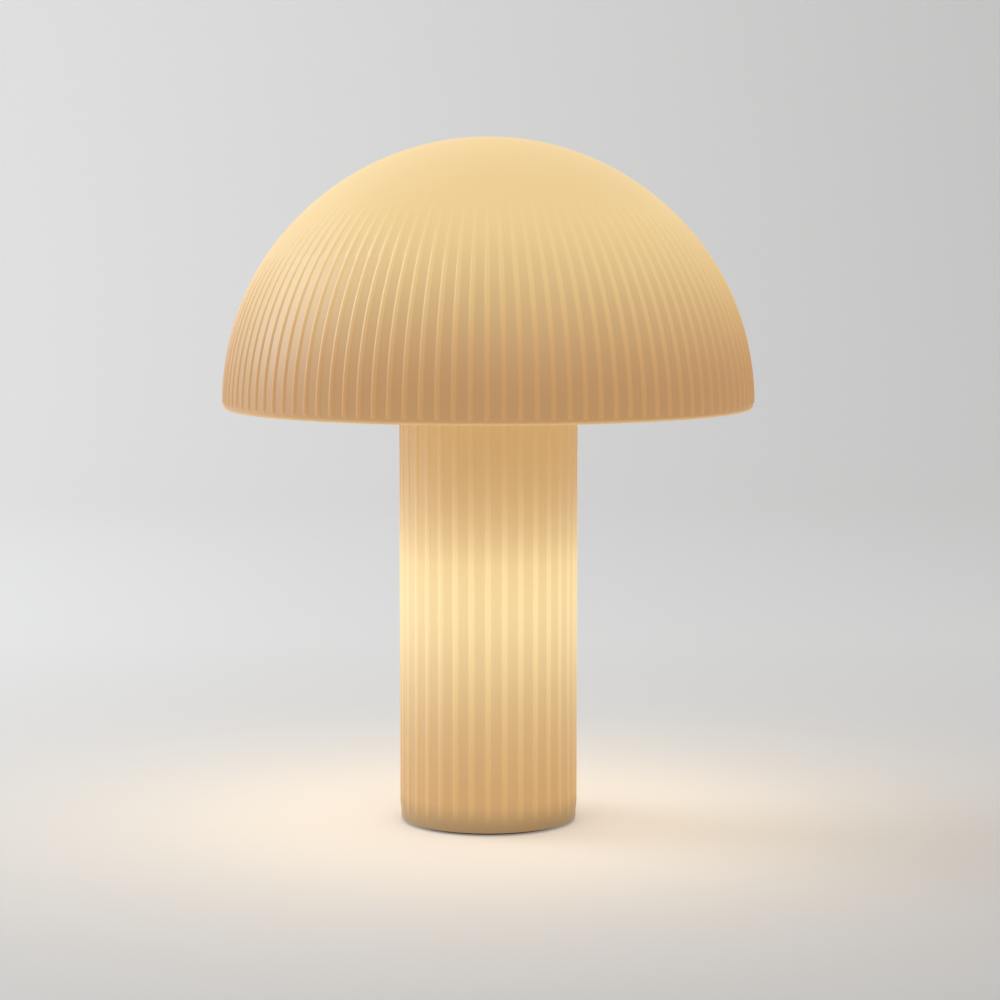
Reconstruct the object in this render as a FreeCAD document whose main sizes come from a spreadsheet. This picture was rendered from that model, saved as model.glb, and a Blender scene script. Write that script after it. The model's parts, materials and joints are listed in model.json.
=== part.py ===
"""Mushroom table lamp: a ribbed dome shade on a ribbed column, lit by one bulb inside the column.

The lamp stands on z = 0 with its axis on the z axis, and its rear (cord inlet, switch) faces +Y.
"""
import FreeCAD, Part
import math
import os
from types import SimpleNamespace

import Sketcher

SIZES = {
    # foot and base plate
    "foot_height": 1.6,
    "foot_inset": 0.8,
    "foot_width": 11.5,
    "plate_thickness": 4,
    "plate_clearance": 0.1,
    "hub_radius": 12,
    "hub_rise": 4,
    "hub_web": 3.6,
    "recess_radius": 9.5,
    # column
    "floor_gap": 1.2,
    "column_radius": 43.25,
    "column_wall": 2.85,
    "column_height": 216,
    "column_edge": 1,
    "column_rib_count": 34,
    "column_rib_height": 0.6,
    "column_rib_radius": 1.6,
    "column_rib_start": 4.6,
    "boss_radius": 4.2,
    "boss_bite": 0.4,
    "boss_height": 9.5,
    # screws
    "screw_radius": 1.45,
    "screw_clearance": 0.05,
    "screw_head_radius": 2.6,
    "screw_head_height": 1.8,
    "screw_head_sink": 0.2,
    "base_screw_length": 10.8,
    "carrier_screw_length": 10.6,
    # ballast, threaded tube and its nuts
    "ballast_boss_gap": 0.9,
    "ballast_thickness": 10,
    "ballast_clearance": 0.4,
    "tube_radius": 5,
    "tube_bore": 3.5,
    "tube_clearance": 0.05,
    "tube_above_holder_floor": 3.5,
    "nut_corner_radius": 8,
    "nut_height": 3.5,
    "washer_radius": 16,
    "washer_thickness": 1.5,
    # lampholder
    "holder_radius": 19,
    "holder_foot_radius": 15,
    "holder_base": 2.4,
    "holder_cup_height": 15.4,
    "holder_shoulder": 5.4,
    "core_radius": 17.5,
    "core_rise": 7,
    "core_base": 5,
    "core_height": 30.2,
    "core_clearance": 0.1,
    "sleeve_radius": 20,
    "sleeve_bore": 17.8,
    "sleeve_lip": 2.1,
    "sleeve_mouth_radius": 14.5,
    "thread_bore": 13.75,
    "thread_wall": 0.35,
    "thread_height": 23.8,
    "contact_height": 1.4,
    "contact_radius": 3.5,
    # bulb
    "contact_gap": 0.2,
    "bulb_tip_height": 2,
    "bulb_tip_radius": 4.6,
    "insulator_height": 3.3,
    "insulator_grip": 2,
    "bulb_cap_radius": 13.35,
    "bulb_cap_bore": 12.3,
    "bulb_cap_height": 19,
    "bulb_thread_depth": 0.5,
    "bulb_thread_pitch": 3.63,
    "bulb_length": 106.8,
    "globe_radius": 30,
    "glass_wall": 1,
    "stem_radius": 3,
    "stem_height": 24,
    "stem_disc_radius": 9.5,
    "stem_disc_thickness": 1.5,
    "filament_radius": 0.9,
    "filament_offset": 7.5,
    "filament_length": 32,
    # wiring in the foot
    "block_length": 15,
    "block_width": 9,
    "block_height": 11,
    "block_distance": 22,
    "block_wire_spacing": 9,
    "block_wire_height": 8.4,
    "block_feed_height": 2.2,
    "block_feed_spacing": 4.6,
    "block_screw_radius": 1.6,
    "block_screw_height": 1.2,
    "wire_radius": 1,
    "wire_bend_radius": 4.5,
    "wire_reach": 1.5,
    "wire_lead": 9,
    "wire_lift": 3.5,
    "wire_swing": 7,
    "wire_side": 14,
    # rear fittings
    "grommet_height": 13,
    "grommet_bore": 3.3,
    "grommet_neck_radius": 4.5,
    "grommet_flange_radius": 6.2,
    "grommet_flange_thickness": 1.5,
    "fitting_clearance": 0.1,
    "switch_height": 34,
    "switch_flange_radius": 8.5,
    "switch_flange_thickness": 1.6,
    "switch_barrel_radius": 6,
    "switch_barrel_length": 15.5,
    "switch_bore_radius": 5.1,
    "switch_mouth_radius": 4.5,
    "switch_back": 3.6,
    "switch_lip": 1.25,
    "switch_nut_radius": 9,
    "switch_nut_height": 2.5,
    "button_radius": 4.2,
    "button_collar_radius": 4.8,
    "button_clearance": 0.3,
    "button_travel": 2.5,
    "button_proud": 3.5,
    "button_bore_radius": 3.3,
    "button_cap": 7,
    "spring_radius": 2.5,
    "spring_wire_radius": 0.35,
    "spring_turns": 5,
    "blade_width": 3,
    "blade_thickness": 0.8,
    "blade_length": 3.9,
    "blade_spacing": 6,
    # shade and its carrier
    "shade_radius": 129.4,
    "shade_wall": 3.4,
    "shade_below_equator": 2.5,
    "shade_overlap": 12.5,
    "shade_rib_count": 108,
    "shade_rib_height": 0.6,
    "shade_rib_radius": 1.6,
    "shade_rib_drift": 1.9,
    "carrier_thickness": 4,
    "spigot_wall": 6.1,
    "spigot_clearance": 0.3,
    "spigot_depth": 14,
    "arm_width": 9,
    "arm_end_margin": 4.5,
    "lug_width": 11,
    "lug_height": 9,
    "lug_length": 14,
    "lug_screw_inset": 3.8,
    "lug_bite": 0.2,
}

BOSS_ANGLES = (45, 165, 285)
ARM_ANGLES = (90, 210, 330)
FILAMENT_ANGLES = (45, 135, 225, 315)
SHADE_RIB_SWEEP = 56

doc = FreeCAD.newDocument("mushroom_table_lamp")


class Size:
    """A length that knows its value in mm and the expression that gives it."""

    def __init__(self, value, text):
        self.value = float(value)
        self.text = text

    def __add__(self, other):
        other = as_size(other)
        return Size(self.value + other.value, f"({self.text} + {other.text})")

    def __sub__(self, other):
        other = as_size(other)
        return Size(self.value - other.value, f"({self.text} - {other.text})")

    def __mul__(self, other):
        other = as_size(other)
        return Size(self.value * other.value, f"({self.text} * {other.text})")

    def __truediv__(self, other):
        other = as_size(other)
        return Size(self.value / other.value, f"({self.text} / {other.text})")

    def __neg__(self):
        return Size(-self.value, f"(-1 * {self.text})")


def as_size(number):
    """Wrap a plain number, such as a share or a count, as a Size."""
    return number if isinstance(number, Size) else Size(number, f"{float(number):.9f}")


def root(size):
    """Square root of a Size."""
    return Size(math.sqrt(size.value), f"sqrt({size.text})")


def polar(radius, degrees):
    """The x and y of a point on a circle about the axis."""
    angle = math.radians(degrees)
    return radius * math.cos(angle), radius * math.sin(angle)


def make_sheet():
    """Write the driving dimensions to the spreadsheet and return them as Sizes by name."""
    sheet = doc.addObject("Spreadsheet::Sheet", "Sizes")
    for row, (name, number) in enumerate(SIZES.items(), start=1):
        sheet.set(f"A{row}", name)
        sheet.set(f"B{row}", str(number))
        sheet.setAlias(f"B{row}", name)
    doc.recompute()
    return SimpleNamespace(**{name: Size(sheet.get(name), f"Sizes.{name}") for name in SIZES})


size = make_sheet()

# Levels up the axis, from the floor, and radii that several pieces share.
plate_top = size.foot_height + size.plate_thickness
hub_top = plate_top + size.hub_rise
recess_ceiling = hub_top - size.hub_web
ballast_top = plate_top + size.ballast_thickness
washer_top = ballast_top + size.washer_thickness
holder_bottom = washer_top + size.nut_height
holder_floor = holder_bottom + size.holder_base
holder_rim = holder_bottom + size.holder_cup_height
core_bottom = holder_bottom + size.core_rise
core_floor = core_bottom + size.core_base
core_top = core_bottom + size.core_height
sleeve_ceiling = core_top + size.core_clearance
sleeve_top = sleeve_ceiling + size.sleeve_lip
contact_top = core_floor + size.contact_height
bulb_tip = contact_top + size.contact_gap
insulator_bottom = bulb_tip + size.bulb_tip_height
bulb_cap_bottom = insulator_bottom + size.insulator_height
bulb_cap_top = bulb_cap_bottom + size.bulb_cap_height
globe_centre = bulb_tip + size.bulb_length - size.globe_radius
column_bore = size.column_radius - size.column_wall
column_face = size.column_radius + size.column_rib_height
column_top = size.floor_gap + size.column_height
rib_bottom = size.floor_gap + size.column_rib_start
plate_radius = column_bore - size.plate_clearance
boss_circle = column_bore + size.boss_bite - size.boss_radius
ballast_radius = boss_circle - size.boss_radius - size.ballast_boss_gap
screw_hole = size.screw_radius + size.screw_clearance
base_screw_seat = size.foot_height + size.screw_head_sink + size.screw_head_height
carrier_top = column_top + size.carrier_thickness
shade_rim = column_top - size.shade_overlap
shade_centre = shade_rim + size.shade_below_equator
shade_bore = size.shade_radius - size.shade_wall
lug_end = shade_bore + size.lug_bite
carrier_screw_circle = lug_end - size.lug_length + size.lug_screw_inset
arm_end = carrier_screw_circle + size.arm_end_margin


def origin_feature(body, role):
    """The plane or axis of a body's own origin."""
    return next(item for item in body.Origin.OriginFeatures if item.Role == role)


def bind(item, prop, length):
    """Bind one property of an object to an expression of the spreadsheet's sizes."""
    item.setExpression(prop, as_size(length).text)


def new_sketch(body, name, role, level=None):
    """A sketch on one of the body's origin planes, raised to a level if one is given."""
    sketch = body.newObject("Sketcher::SketchObject", name)
    sketch.AttachmentSupport = [(origin_feature(body, role), "")]
    sketch.MapMode = "FlatFace"
    if level is not None:
        bind(sketch, "AttachmentOffset.Base.z", level)
    return sketch


def pin_point(sketch, geometry, end, x, y):
    """Tie one point of a sketch to its coordinates."""
    for kind, length in (("DistanceX", x), ("DistanceY", y)):
        length = as_size(length)
        index = sketch.addConstraint(Sketcher.Constraint(kind, geometry, end, length.value))
        sketch.setExpression(f"Constraints[{index}]", length.text)


def draw_outline(sketch, points):
    """A closed outline of straight lines through the points, each tied to its sizes."""
    count = len(points)
    corners = [FreeCAD.Vector(as_size(x).value, as_size(y).value, 0) for x, y in points]
    for index in range(count):
        sketch.addGeometry(Part.LineSegment(corners[index], corners[(index + 1) % count]))
    for index in range(count):
        sketch.addConstraint(Sketcher.Constraint("Coincident", index, 2, (index + 1) % count, 1))
    for index, (x, y) in enumerate(points):
        pin_point(sketch, index, 1, x, y)


def draw_circle(sketch, x, y, radius):
    """A circle tied to its centre and radius."""
    centre = FreeCAD.Vector(as_size(x).value, as_size(y).value, 0)
    index = sketch.addGeometry(Part.Circle(centre, FreeCAD.Vector(0, 0, 1), radius.value))
    pin_point(sketch, index, 3, x, y)
    constraint = sketch.addConstraint(Sketcher.Constraint("Radius", index, radius.value))
    sketch.setExpression(f"Constraints[{constraint}]", radius.text)


def new_body(name):
    """A body whose label names its sub-part."""
    body = doc.addObject("PartDesign::Body", name)
    body.Label = name
    return body


def lathe(name, points):
    """A turned piece: an outline of (radius, height) points revolved about the axis."""
    body = new_body(name)
    sketch = new_sketch(body, f"{name}_outline", "XZ_Plane")
    draw_outline(sketch, points)
    turned = body.newObject("PartDesign::Revolution", f"{name}_turned")
    turned.Profile = sketch
    turned.ReferenceAxis = (sketch, ["V_Axis"])
    turned.Angle = 360
    doc.recompute()
    return body


def face_rearwards(body, height):
    """Lay a turned piece along +Y at a height, so that its own z is measured from the lamp's axis."""
    body.Placement = FreeCAD.Placement(FreeCAD.Vector(0, 0, 0), FreeCAD.Rotation(FreeCAD.Vector(1, 0, 0), -90))
    bind(body, "Placement.Base.z", height)


def pad(body, sketch, length):
    """Pad a sketch up the axis."""
    feature = body.newObject("PartDesign::Pad", f"{sketch.Name}_pad")
    feature.Profile = sketch
    bind(feature, "Length", length)
    doc.recompute()
    return feature


def pocket_through(body, sketch):
    """Cut a sketch through all that lies behind its plane, and make sure that it cuts."""
    volume_before = body.Tip.Shape.Volume
    feature = body.newObject("PartDesign::Pocket", f"{sketch.Name}_pocket")
    feature.Profile = sketch
    feature.Type = "ThroughAll"
    doc.recompute()
    if not feature.Shape.Volume < volume_before:
        raise RuntimeError(f"{feature.Name} cuts nothing")
    return feature


def repeat_round_axis(body, features, count):
    """Repeat features evenly round the lamp's axis."""
    pattern = body.newObject("PartDesign::PolarPattern", f"{features[0].Name}_pattern")
    pattern.Originals = features
    pattern.Axis = (origin_feature(body, "Z_Axis"), [""])
    pattern.Angle = 360
    pattern.Occurrences = int(round(as_size(count).value))
    body.Tip = pattern
    doc.recompute()
    return pattern


def place(item, x=0, y=0, z=0):
    """Bind an object's place to the sizes."""
    for axis, length in (("x", x), ("y", y), ("z", z)):
        bind(item, f"Placement.Base.{axis}", length)


def cylinder(name, radius, height, x=0, y=0, z=0):
    """An upright cylinder that stands on the level z."""
    item = doc.addObject("Part::Cylinder", name)
    bind(item, "Radius", radius)
    bind(item, "Height", height)
    place(item, x, y, z)
    return item


def hexagon(name, corner_radius, height, z):
    """An upright hexagonal prism on the axis."""
    item = doc.addObject("Part::Prism", name)
    item.Polygon = 6
    bind(item, "Circumradius", corner_radius)
    bind(item, "Height", height)
    place(item, z=z)
    return item


def box(name, length, width, height, x, y, z):
    """A box from its lowest corner."""
    item = doc.addObject("Part::Box", name)
    bind(item, "Length", length)
    bind(item, "Width", width)
    bind(item, "Height", height)
    place(item, x, y, z)
    return item


def cut(name, base, tool):
    """One solid less another."""
    item = doc.addObject("Part::Cut", name)
    item.Base = base
    item.Tool = tool
    return item


def group(name, items):
    """Several solids in one sub-part, fused where they touch."""
    item = doc.addObject("Part::MultiFuse", name)
    item.Shapes = items
    item.Label = name
    return item


def shaped(name, shape):
    """A sub-part whose shape is worked out by the geometry functions."""
    item = doc.addObject("Part::Feature", name)
    item.Shape = shape
    item.Label = name
    return item


# ---------------------------------------------------------------- foot and base


def make_foot_ring():
    """Flat rubber ring under the base plate; it lifts the column clear of the table."""
    outer = plate_radius - size.foot_inset
    inner = outer - size.foot_width
    lathe("foot_ring", [
        (inner, 0),
        (outer, 0),
        (outer, size.foot_height),
        (inner, size.foot_height),
    ])


def make_base_plate():
    """Steel disc that closes the column, with a hub for the threaded tube and three sunk screw holes."""
    tube_hole = size.tube_radius + size.tube_clearance
    body = lathe("base_plate", [
        (size.recess_radius, size.foot_height),
        (plate_radius, size.foot_height),
        (plate_radius, plate_top),
        (size.hub_radius, plate_top),
        (size.hub_radius, hub_top),
        (tube_hole, hub_top),
        (tube_hole, recess_ceiling),
        (size.recess_radius, recess_ceiling),
    ])
    x, y = polar(boss_circle, BOSS_ANGLES[0])
    hole = new_sketch(body, "plate_screw_hole", "XY_Plane", plate_top)
    draw_circle(hole, x, y, screw_hole)
    through = pocket_through(body, hole)
    sink = new_sketch(body, "plate_screw_sink", "XY_Plane", base_screw_seat)
    draw_circle(sink, x, y, size.screw_head_radius + size.screw_clearance)
    recess = pocket_through(body, sink)
    repeat_round_axis(body, [through, recess], len(BOSS_ANGLES))


def make_base_screws():
    """Three screws from below that hold the column down on the base plate."""
    pieces = []
    for number, angle in enumerate(BOSS_ANGLES, start=1):
        x, y = polar(boss_circle, angle)
        head_bottom = base_screw_seat - size.screw_head_height
        pieces.append(cylinder(f"base_screw_head_{number}", size.screw_head_radius,
                               size.screw_head_height, x, y, head_bottom))
        pieces.append(cylinder(f"base_screw_shank_{number}", size.screw_radius,
                               size.base_screw_length, x, y, base_screw_seat))
    group("base_screws", pieces)


def make_ballast():
    """Cast iron disc that keeps the lamp from tipping."""
    bore = size.hub_radius + size.ballast_clearance
    lathe("ballast_disc", [
        (bore, plate_top),
        (ballast_radius, plate_top),
        (ballast_radius, ballast_top),
        (bore, ballast_top),
    ])


def make_threaded_tube():
    """Hollow threaded tube that clamps the base and carries the lampholder."""
    bottom = recess_ceiling - size.nut_height
    top = holder_floor + size.tube_above_holder_floor
    lathe("threaded_tube", [
        (size.tube_bore, bottom),
        (size.tube_radius, bottom),
        (size.tube_radius, top),
        (size.tube_bore, top),
    ])


def make_tube_nuts():
    """Hexagonal nuts on the threaded tube: one in the plate's recess, one on the washer."""
    nuts = []
    for name, level in (("lower_nut", recess_ceiling - size.nut_height), ("upper_nut", washer_top)):
        blank = hexagon(f"{name}_blank", size.nut_corner_radius, size.nut_height, level)
        bore = cylinder(f"{name}_bore", size.tube_radius + size.tube_clearance, size.nut_height, z=level)
        nuts.append(cut(name, blank, bore))
    group("tube_nuts", nuts)


def make_washer():
    """Washer that spreads the upper nut's clamp over the ballast."""
    bore = size.tube_radius + size.tube_clearance
    lathe("clamp_washer", [
        (bore, ballast_top),
        (size.washer_radius, ballast_top),
        (size.washer_radius, washer_top),
        (bore, washer_top),
    ])


# ---------------------------------------------------------------- column


def make_column():
    """Translucent ribbed tube with a smooth foot band, three screw bosses and two rear holes."""
    body = lathe("column", [
        (column_bore, size.floor_gap),
        (size.column_radius - size.column_edge, size.floor_gap),
        (size.column_radius, size.floor_gap + size.column_edge),
        (size.column_radius, column_top),
        (column_bore, column_top),
    ])
    rib = new_sketch(body, "column_rib", "XY_Plane", rib_bottom)
    x, y = polar(column_face - size.column_rib_radius, 180 / size.column_rib_count.value)
    draw_circle(rib, x, y, size.column_rib_radius)
    rib_pad = pad(body, rib, column_top - rib_bottom)
    repeat_round_axis(body, [rib_pad], size.column_rib_count)
    x, y = polar(boss_circle, BOSS_ANGLES[0])
    boss = new_sketch(body, "column_boss", "XY_Plane", plate_top)
    draw_circle(boss, x, y, size.boss_radius)
    draw_circle(boss, x, y, screw_hole)
    boss_pad = pad(body, boss, size.boss_height)
    repeat_round_axis(body, [boss_pad], len(BOSS_ANGLES))
    for name, height, radius in (
        ("column_cord_hole", size.grommet_height, size.grommet_neck_radius),
        ("column_switch_hole", size.switch_height, size.switch_barrel_radius),
    ):
        hole = new_sketch(body, name, "XZ_Plane")
        draw_circle(hole, 0, height, radius + size.fitting_clearance)
        pocket_through(body, hole)


# ---------------------------------------------------------------- lampholder


def make_holder_cup():
    """Lower half of the lampholder, screwed on the threaded tube, with two wire holes in its side."""
    bore = size.tube_radius + size.tube_clearance
    seat = size.core_radius + size.core_clearance
    body = lathe("lampholder_cup", [
        (bore, holder_bottom),
        (size.holder_foot_radius, holder_bottom),
        (size.holder_radius, holder_bottom + size.holder_shoulder),
        (size.holder_radius, holder_rim),
        (seat, holder_rim),
        (seat, core_bottom),
        (size.holder_foot_radius, core_bottom),
        (size.holder_foot_radius, holder_floor),
        (bore, holder_floor),
    ])
    holes = new_sketch(body, "cup_wire_holes", "YZ_Plane")
    for side in (-1, 1):
        draw_circle(holes, size.block_wire_spacing * (side / 2), ballast_top + size.block_wire_height,
                    size.wire_radius + size.fitting_clearance)
    pocket_through(body, holes)


def make_holder_core():
    """Ceramic cup of the lampholder that insulates the contacts."""
    wall_bore = size.thread_bore + size.thread_wall + size.core_clearance
    lathe("lampholder_core", [
        (0, core_bottom),
        (size.core_radius, core_bottom),
        (size.core_radius, core_top),
        (wall_bore, core_top),
        (wall_bore, core_floor),
        (0, core_floor),
    ])


def make_holder_thread():
    """Thin threaded metal cup that takes the bulb's cap."""
    outside = size.thread_bore + size.thread_wall
    hole = size.contact_radius + size.contact_height
    lathe("lampholder_thread", [
        (hole, core_floor),
        (outside, core_floor),
        (outside, core_floor + size.thread_height),
        (size.thread_bore, core_floor + size.thread_height),
        (size.thread_bore, core_floor + size.thread_wall),
        (hole, core_floor + size.thread_wall),
    ])


def make_holder_contact():
    """Sprung centre contact in the lampholder's floor."""
    shoulder = core_floor + size.contact_height / 2
    lathe("lampholder_contact", [
        (0, core_floor),
        (size.contact_radius, core_floor),
        (size.contact_radius, shoulder),
        (size.contact_radius / 2, contact_top),
        (0, contact_top),
    ])


def make_holder_sleeve():
    """Upper half of the lampholder, whose lip keeps the ceramic core down."""
    lathe("lampholder_sleeve", [
        (size.sleeve_bore, holder_rim),
        (size.sleeve_radius, holder_rim),
        (size.sleeve_radius, sleeve_top),
        (size.sleeve_mouth_radius, sleeve_top),
        (size.sleeve_mouth_radius, sleeve_ceiling),
        (size.sleeve_bore, sleeve_ceiling),
    ])


# ---------------------------------------------------------------- bulb


def make_bulb_contact():
    """Solder tip at the bottom of the bulb."""
    shoulder = bulb_tip + size.bulb_tip_height * 0.6
    lathe("bulb_contact", [
        (0, bulb_tip),
        (size.bulb_tip_radius * 0.7, bulb_tip),
        (size.bulb_tip_radius, shoulder),
        (size.bulb_tip_radius, insulator_bottom),
        (0, insulator_bottom),
    ])


def make_bulb_insulator():
    """Black glass cone between the bulb's tip and its threaded cap."""
    grip = size.bulb_cap_bore - size.core_clearance
    top = bulb_cap_bottom + size.insulator_grip
    lathe("bulb_insulator", [
        (0, insulator_bottom),
        (size.bulb_tip_radius, insulator_bottom),
        (grip, bulb_cap_bottom),
        (grip, top),
        (0, top),
    ])


def make_bulb_cap():
    """Threaded cap of the bulb, its thread drawn as rolled rings one pitch apart."""
    root_radius = size.bulb_cap_radius - size.bulb_thread_depth
    points = [(size.bulb_cap_bore, bulb_cap_bottom), (root_radius, bulb_cap_bottom)]
    turns = int(size.bulb_cap_height.value // size.bulb_thread_pitch.value)
    for turn in range(turns):
        level = bulb_cap_bottom + size.bulb_thread_pitch * turn
        points.append((size.bulb_cap_radius, level + size.bulb_thread_pitch * 0.35))
        points.append((size.bulb_cap_radius, level + size.bulb_thread_pitch * 0.6))
        points.append((root_radius, level + size.bulb_thread_pitch * 0.95))
    points.append((root_radius, bulb_cap_top))
    points.append((size.bulb_cap_bore, bulb_cap_top))
    lathe("bulb_cap", points)


def pear_side(radius, neck_radius, neck_level, centre_level):
    """Straight neck line and round globe arc, tangent to each other, from the neck to the pole."""
    distance = math.hypot(neck_radius, centre_level - neck_level)
    lean = math.atan2(neck_radius, centre_level - neck_level) + math.acos(radius / distance)
    touch = FreeCAD.Vector(radius * math.sin(lean), 0, centre_level - radius * math.cos(lean))
    halfway = (lean + math.pi) / 2
    middle = FreeCAD.Vector(radius * math.sin(halfway), 0, centre_level - radius * math.cos(halfway))
    pole = FreeCAD.Vector(0, 0, centre_level + radius)
    neck = FreeCAD.Vector(neck_radius, 0, neck_level)
    return [Part.makeLine(neck, touch), Part.Arc(touch, middle, pole).toShape()]


def make_bulb_glass():
    """Pear-shaped opal glass of the bulb."""
    neck_level = bulb_cap_top.value
    neck_radius = size.bulb_cap_radius.value - size.bulb_thread_depth.value / 2
    outside = pear_side(size.globe_radius.value, neck_radius, neck_level, globe_centre.value)
    wall = size.glass_wall.value
    inside = pear_side(size.globe_radius.value - wall, neck_radius - wall, neck_level, globe_centre.value)
    ends = [
        Part.makeLine(FreeCAD.Vector(neck_radius - wall, 0, neck_level), FreeCAD.Vector(neck_radius, 0, neck_level)),
        Part.makeLine(FreeCAD.Vector(0, 0, globe_centre.value + size.globe_radius.value),
                      FreeCAD.Vector(0, 0, globe_centre.value + size.globe_radius.value - wall)),
    ]
    outline = Part.Wire(Part.__sortEdges__(outside + inside + ends))
    glass = Part.Face(outline).revolve(FreeCAD.Vector(0, 0, 0), FreeCAD.Vector(0, 0, 1), 360)
    shaped("bulb_glass", glass)


def make_bulb_stem():
    """Glass stem that closes the bulb's neck and carries the filaments on a disc."""
    seal = size.bulb_cap_bore - size.core_clearance - size.glass_wall
    seal_top = bulb_cap_top + size.stem_disc_thickness
    disc_bottom = bulb_cap_top + size.stem_height
    disc_top = disc_bottom + size.stem_disc_thickness
    lathe("bulb_stem", [
        (0, bulb_cap_top),
        (seal, bulb_cap_top),
        (seal, seal_top),
        (size.stem_radius, seal_top),
        (size.stem_radius, disc_bottom),
        (size.stem_disc_radius, disc_bottom),
        (size.stem_disc_radius, disc_top),
        (0, disc_top),
    ])


def make_filaments():
    """Four upright light filaments on the stem's disc."""
    level = bulb_cap_top + size.stem_height + size.stem_disc_thickness
    rods = []
    for number, angle in enumerate(FILAMENT_ANGLES, start=1):
        x, y = polar(size.filament_offset, angle)
        rods.append(cylinder(f"filament_{number}", size.filament_radius, size.filament_length, x, y, level))
    group("led_filaments", rods)


# ---------------------------------------------------------------- wiring and rear fittings


def make_terminal_block():
    """Plastic block on the ballast where the supply meets the lampholder's and the switch's wires."""
    body = new_body("terminal_block")
    outline = new_sketch(body, "block_outline", "XY_Plane", ballast_top)
    inner = -size.block_distance
    outer = inner - size.block_width
    half = size.block_length / 2
    draw_outline(outline, [(outer, -half), (inner, -half), (inner, half), (outer, half)])
    pad(body, outline, size.block_height)


def make_block_screws():
    """Two brass clamping screws on the terminal block."""
    top = ballast_top + size.block_height
    screws = []
    for side in (-1, 1):
        screws.append(cylinder(f"block_screw_{2 + side}", size.block_screw_radius, size.block_screw_height,
                               -(size.block_distance + size.block_width / 2),
                               size.block_wire_spacing * (side / 2), top))
    group("block_screws", screws)


def tube_along(points, radius, bend_radius):
    """A round wire along straight runs that are joined by tangent arcs."""
    edges = []
    start = points[0]
    for before, corner, after in zip(points, points[1:], points[2:]):
        inward = (before - corner).normalize()
        outward = (after - corner).normalize()
        half_angle = inward.getAngle(outward) / 2
        setback = bend_radius / math.tan(half_angle)
        middle_direction = (inward + outward).normalize()
        centre_distance = bend_radius / math.sin(half_angle)
        first = corner + inward * setback
        last = corner + outward * setback
        middle = corner + middle_direction * (centre_distance - bend_radius)
        edges.append(Part.makeLine(start, first))
        edges.append(Part.Arc(first, middle, last).toShape())
        start = last
    edges.append(Part.makeLine(start, points[-1]))
    path = Part.Wire(edges)
    direction = points[1] - points[0]
    section = Part.Wire([Part.Circle(points[0], direction, radius).toShape()])
    return path.makePipeShell([section], True, False)


def make_wires():
    """Two wires from the switch to the terminal block, and two from the block to the lampholder."""
    radius = size.wire_radius.value
    bend = size.wire_bend_radius.value
    bed = ballast_top.value + size.block_feed_height.value
    lifted = bed + size.wire_lift.value
    block_end = size.block_length.value / 2
    block_middle = -size.block_distance.value - size.block_width.value / 2
    blade_x = size.blade_spacing.value / 2
    blade_bottom = size.switch_height.value - size.blade_width.value / 2
    blade_y = switch_back.value - size.blade_length.value / 2
    half_feed = size.block_feed_spacing.value / 2
    near = [
        FreeCAD.Vector(-blade_x, blade_y, blade_bottom),
        FreeCAD.Vector(-blade_x, blade_y, bed),
        FreeCAD.Vector(block_middle + half_feed, block_end + size.wire_lead.value, bed),
        FreeCAD.Vector(block_middle + half_feed, block_end, bed),
    ]
    far = [
        FreeCAD.Vector(blade_x, blade_y, blade_bottom),
        FreeCAD.Vector(blade_x, blade_y, lifted),
        FreeCAD.Vector(-size.wire_side.value, blade_y + size.wire_swing.value, lifted),
        FreeCAD.Vector(block_middle - half_feed, block_end + size.wire_lead.value, bed),
        FreeCAD.Vector(block_middle - half_feed, block_end, bed),
    ]
    pieces = [tube_along(near, radius, bend), tube_along(far, radius, bend)]
    level = ballast_top.value + size.block_wire_height.value
    start = -size.block_distance.value
    end = -math.sqrt(size.holder_foot_radius.value ** 2 - size.block_wire_spacing.value ** 2 / 4)
    for side in (-1, 1):
        origin = FreeCAD.Vector(start, side * size.block_wire_spacing.value / 2, level)
        length = end + size.wire_reach.value - start
        pieces.append(Part.makeCylinder(radius, length, origin, FreeCAD.Vector(1, 0, 0)))
    shaped("inner_wires", Part.makeCompound(pieces))


def inner_seat(radius):
    """Distance from the axis at which a flat ring of this radius meets the column's bore."""
    return root(column_bore * column_bore - radius * radius) - size.fitting_clearance


def make_cord_grommet():
    """Rubber grommet that lines the cord's hole at the rear of the foot."""
    inner = inner_seat(size.grommet_flange_radius)
    body = lathe("cord_grommet", [
        (size.grommet_bore, inner - size.grommet_flange_thickness),
        (size.grommet_flange_radius, inner - size.grommet_flange_thickness),
        (size.grommet_flange_radius, inner),
        (size.grommet_neck_radius, inner),
        (size.grommet_neck_radius, column_face),
        (size.grommet_flange_radius, column_face),
        (size.grommet_flange_radius, column_face + size.grommet_flange_thickness),
        (size.grommet_bore, column_face + size.grommet_flange_thickness),
    ])
    face_rearwards(body, size.grommet_height)


switch_face = column_face + size.switch_flange_thickness
switch_back = column_face - size.switch_barrel_length
switch_floor = switch_back + size.switch_back
button_stop = switch_face - size.switch_lip - size.button_clearance
button_bottom = switch_floor + size.button_clearance + size.button_travel
button_top = switch_face + size.button_proud


def make_switch_body():
    """Barrel and flange of the push switch; a lip at its mouth keeps the button in."""
    body = lathe("switch_body", [
        (0, switch_back),
        (size.switch_barrel_radius, switch_back),
        (size.switch_barrel_radius, column_face),
        (size.switch_flange_radius, column_face),
        (size.switch_flange_radius, switch_face),
        (size.switch_mouth_radius, switch_face),
        (size.switch_mouth_radius, switch_face - size.switch_lip),
        (size.switch_bore_radius, switch_face - size.switch_lip),
        (size.switch_bore_radius, switch_floor),
        (0, switch_floor),
    ])
    face_rearwards(body, size.switch_height)


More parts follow.
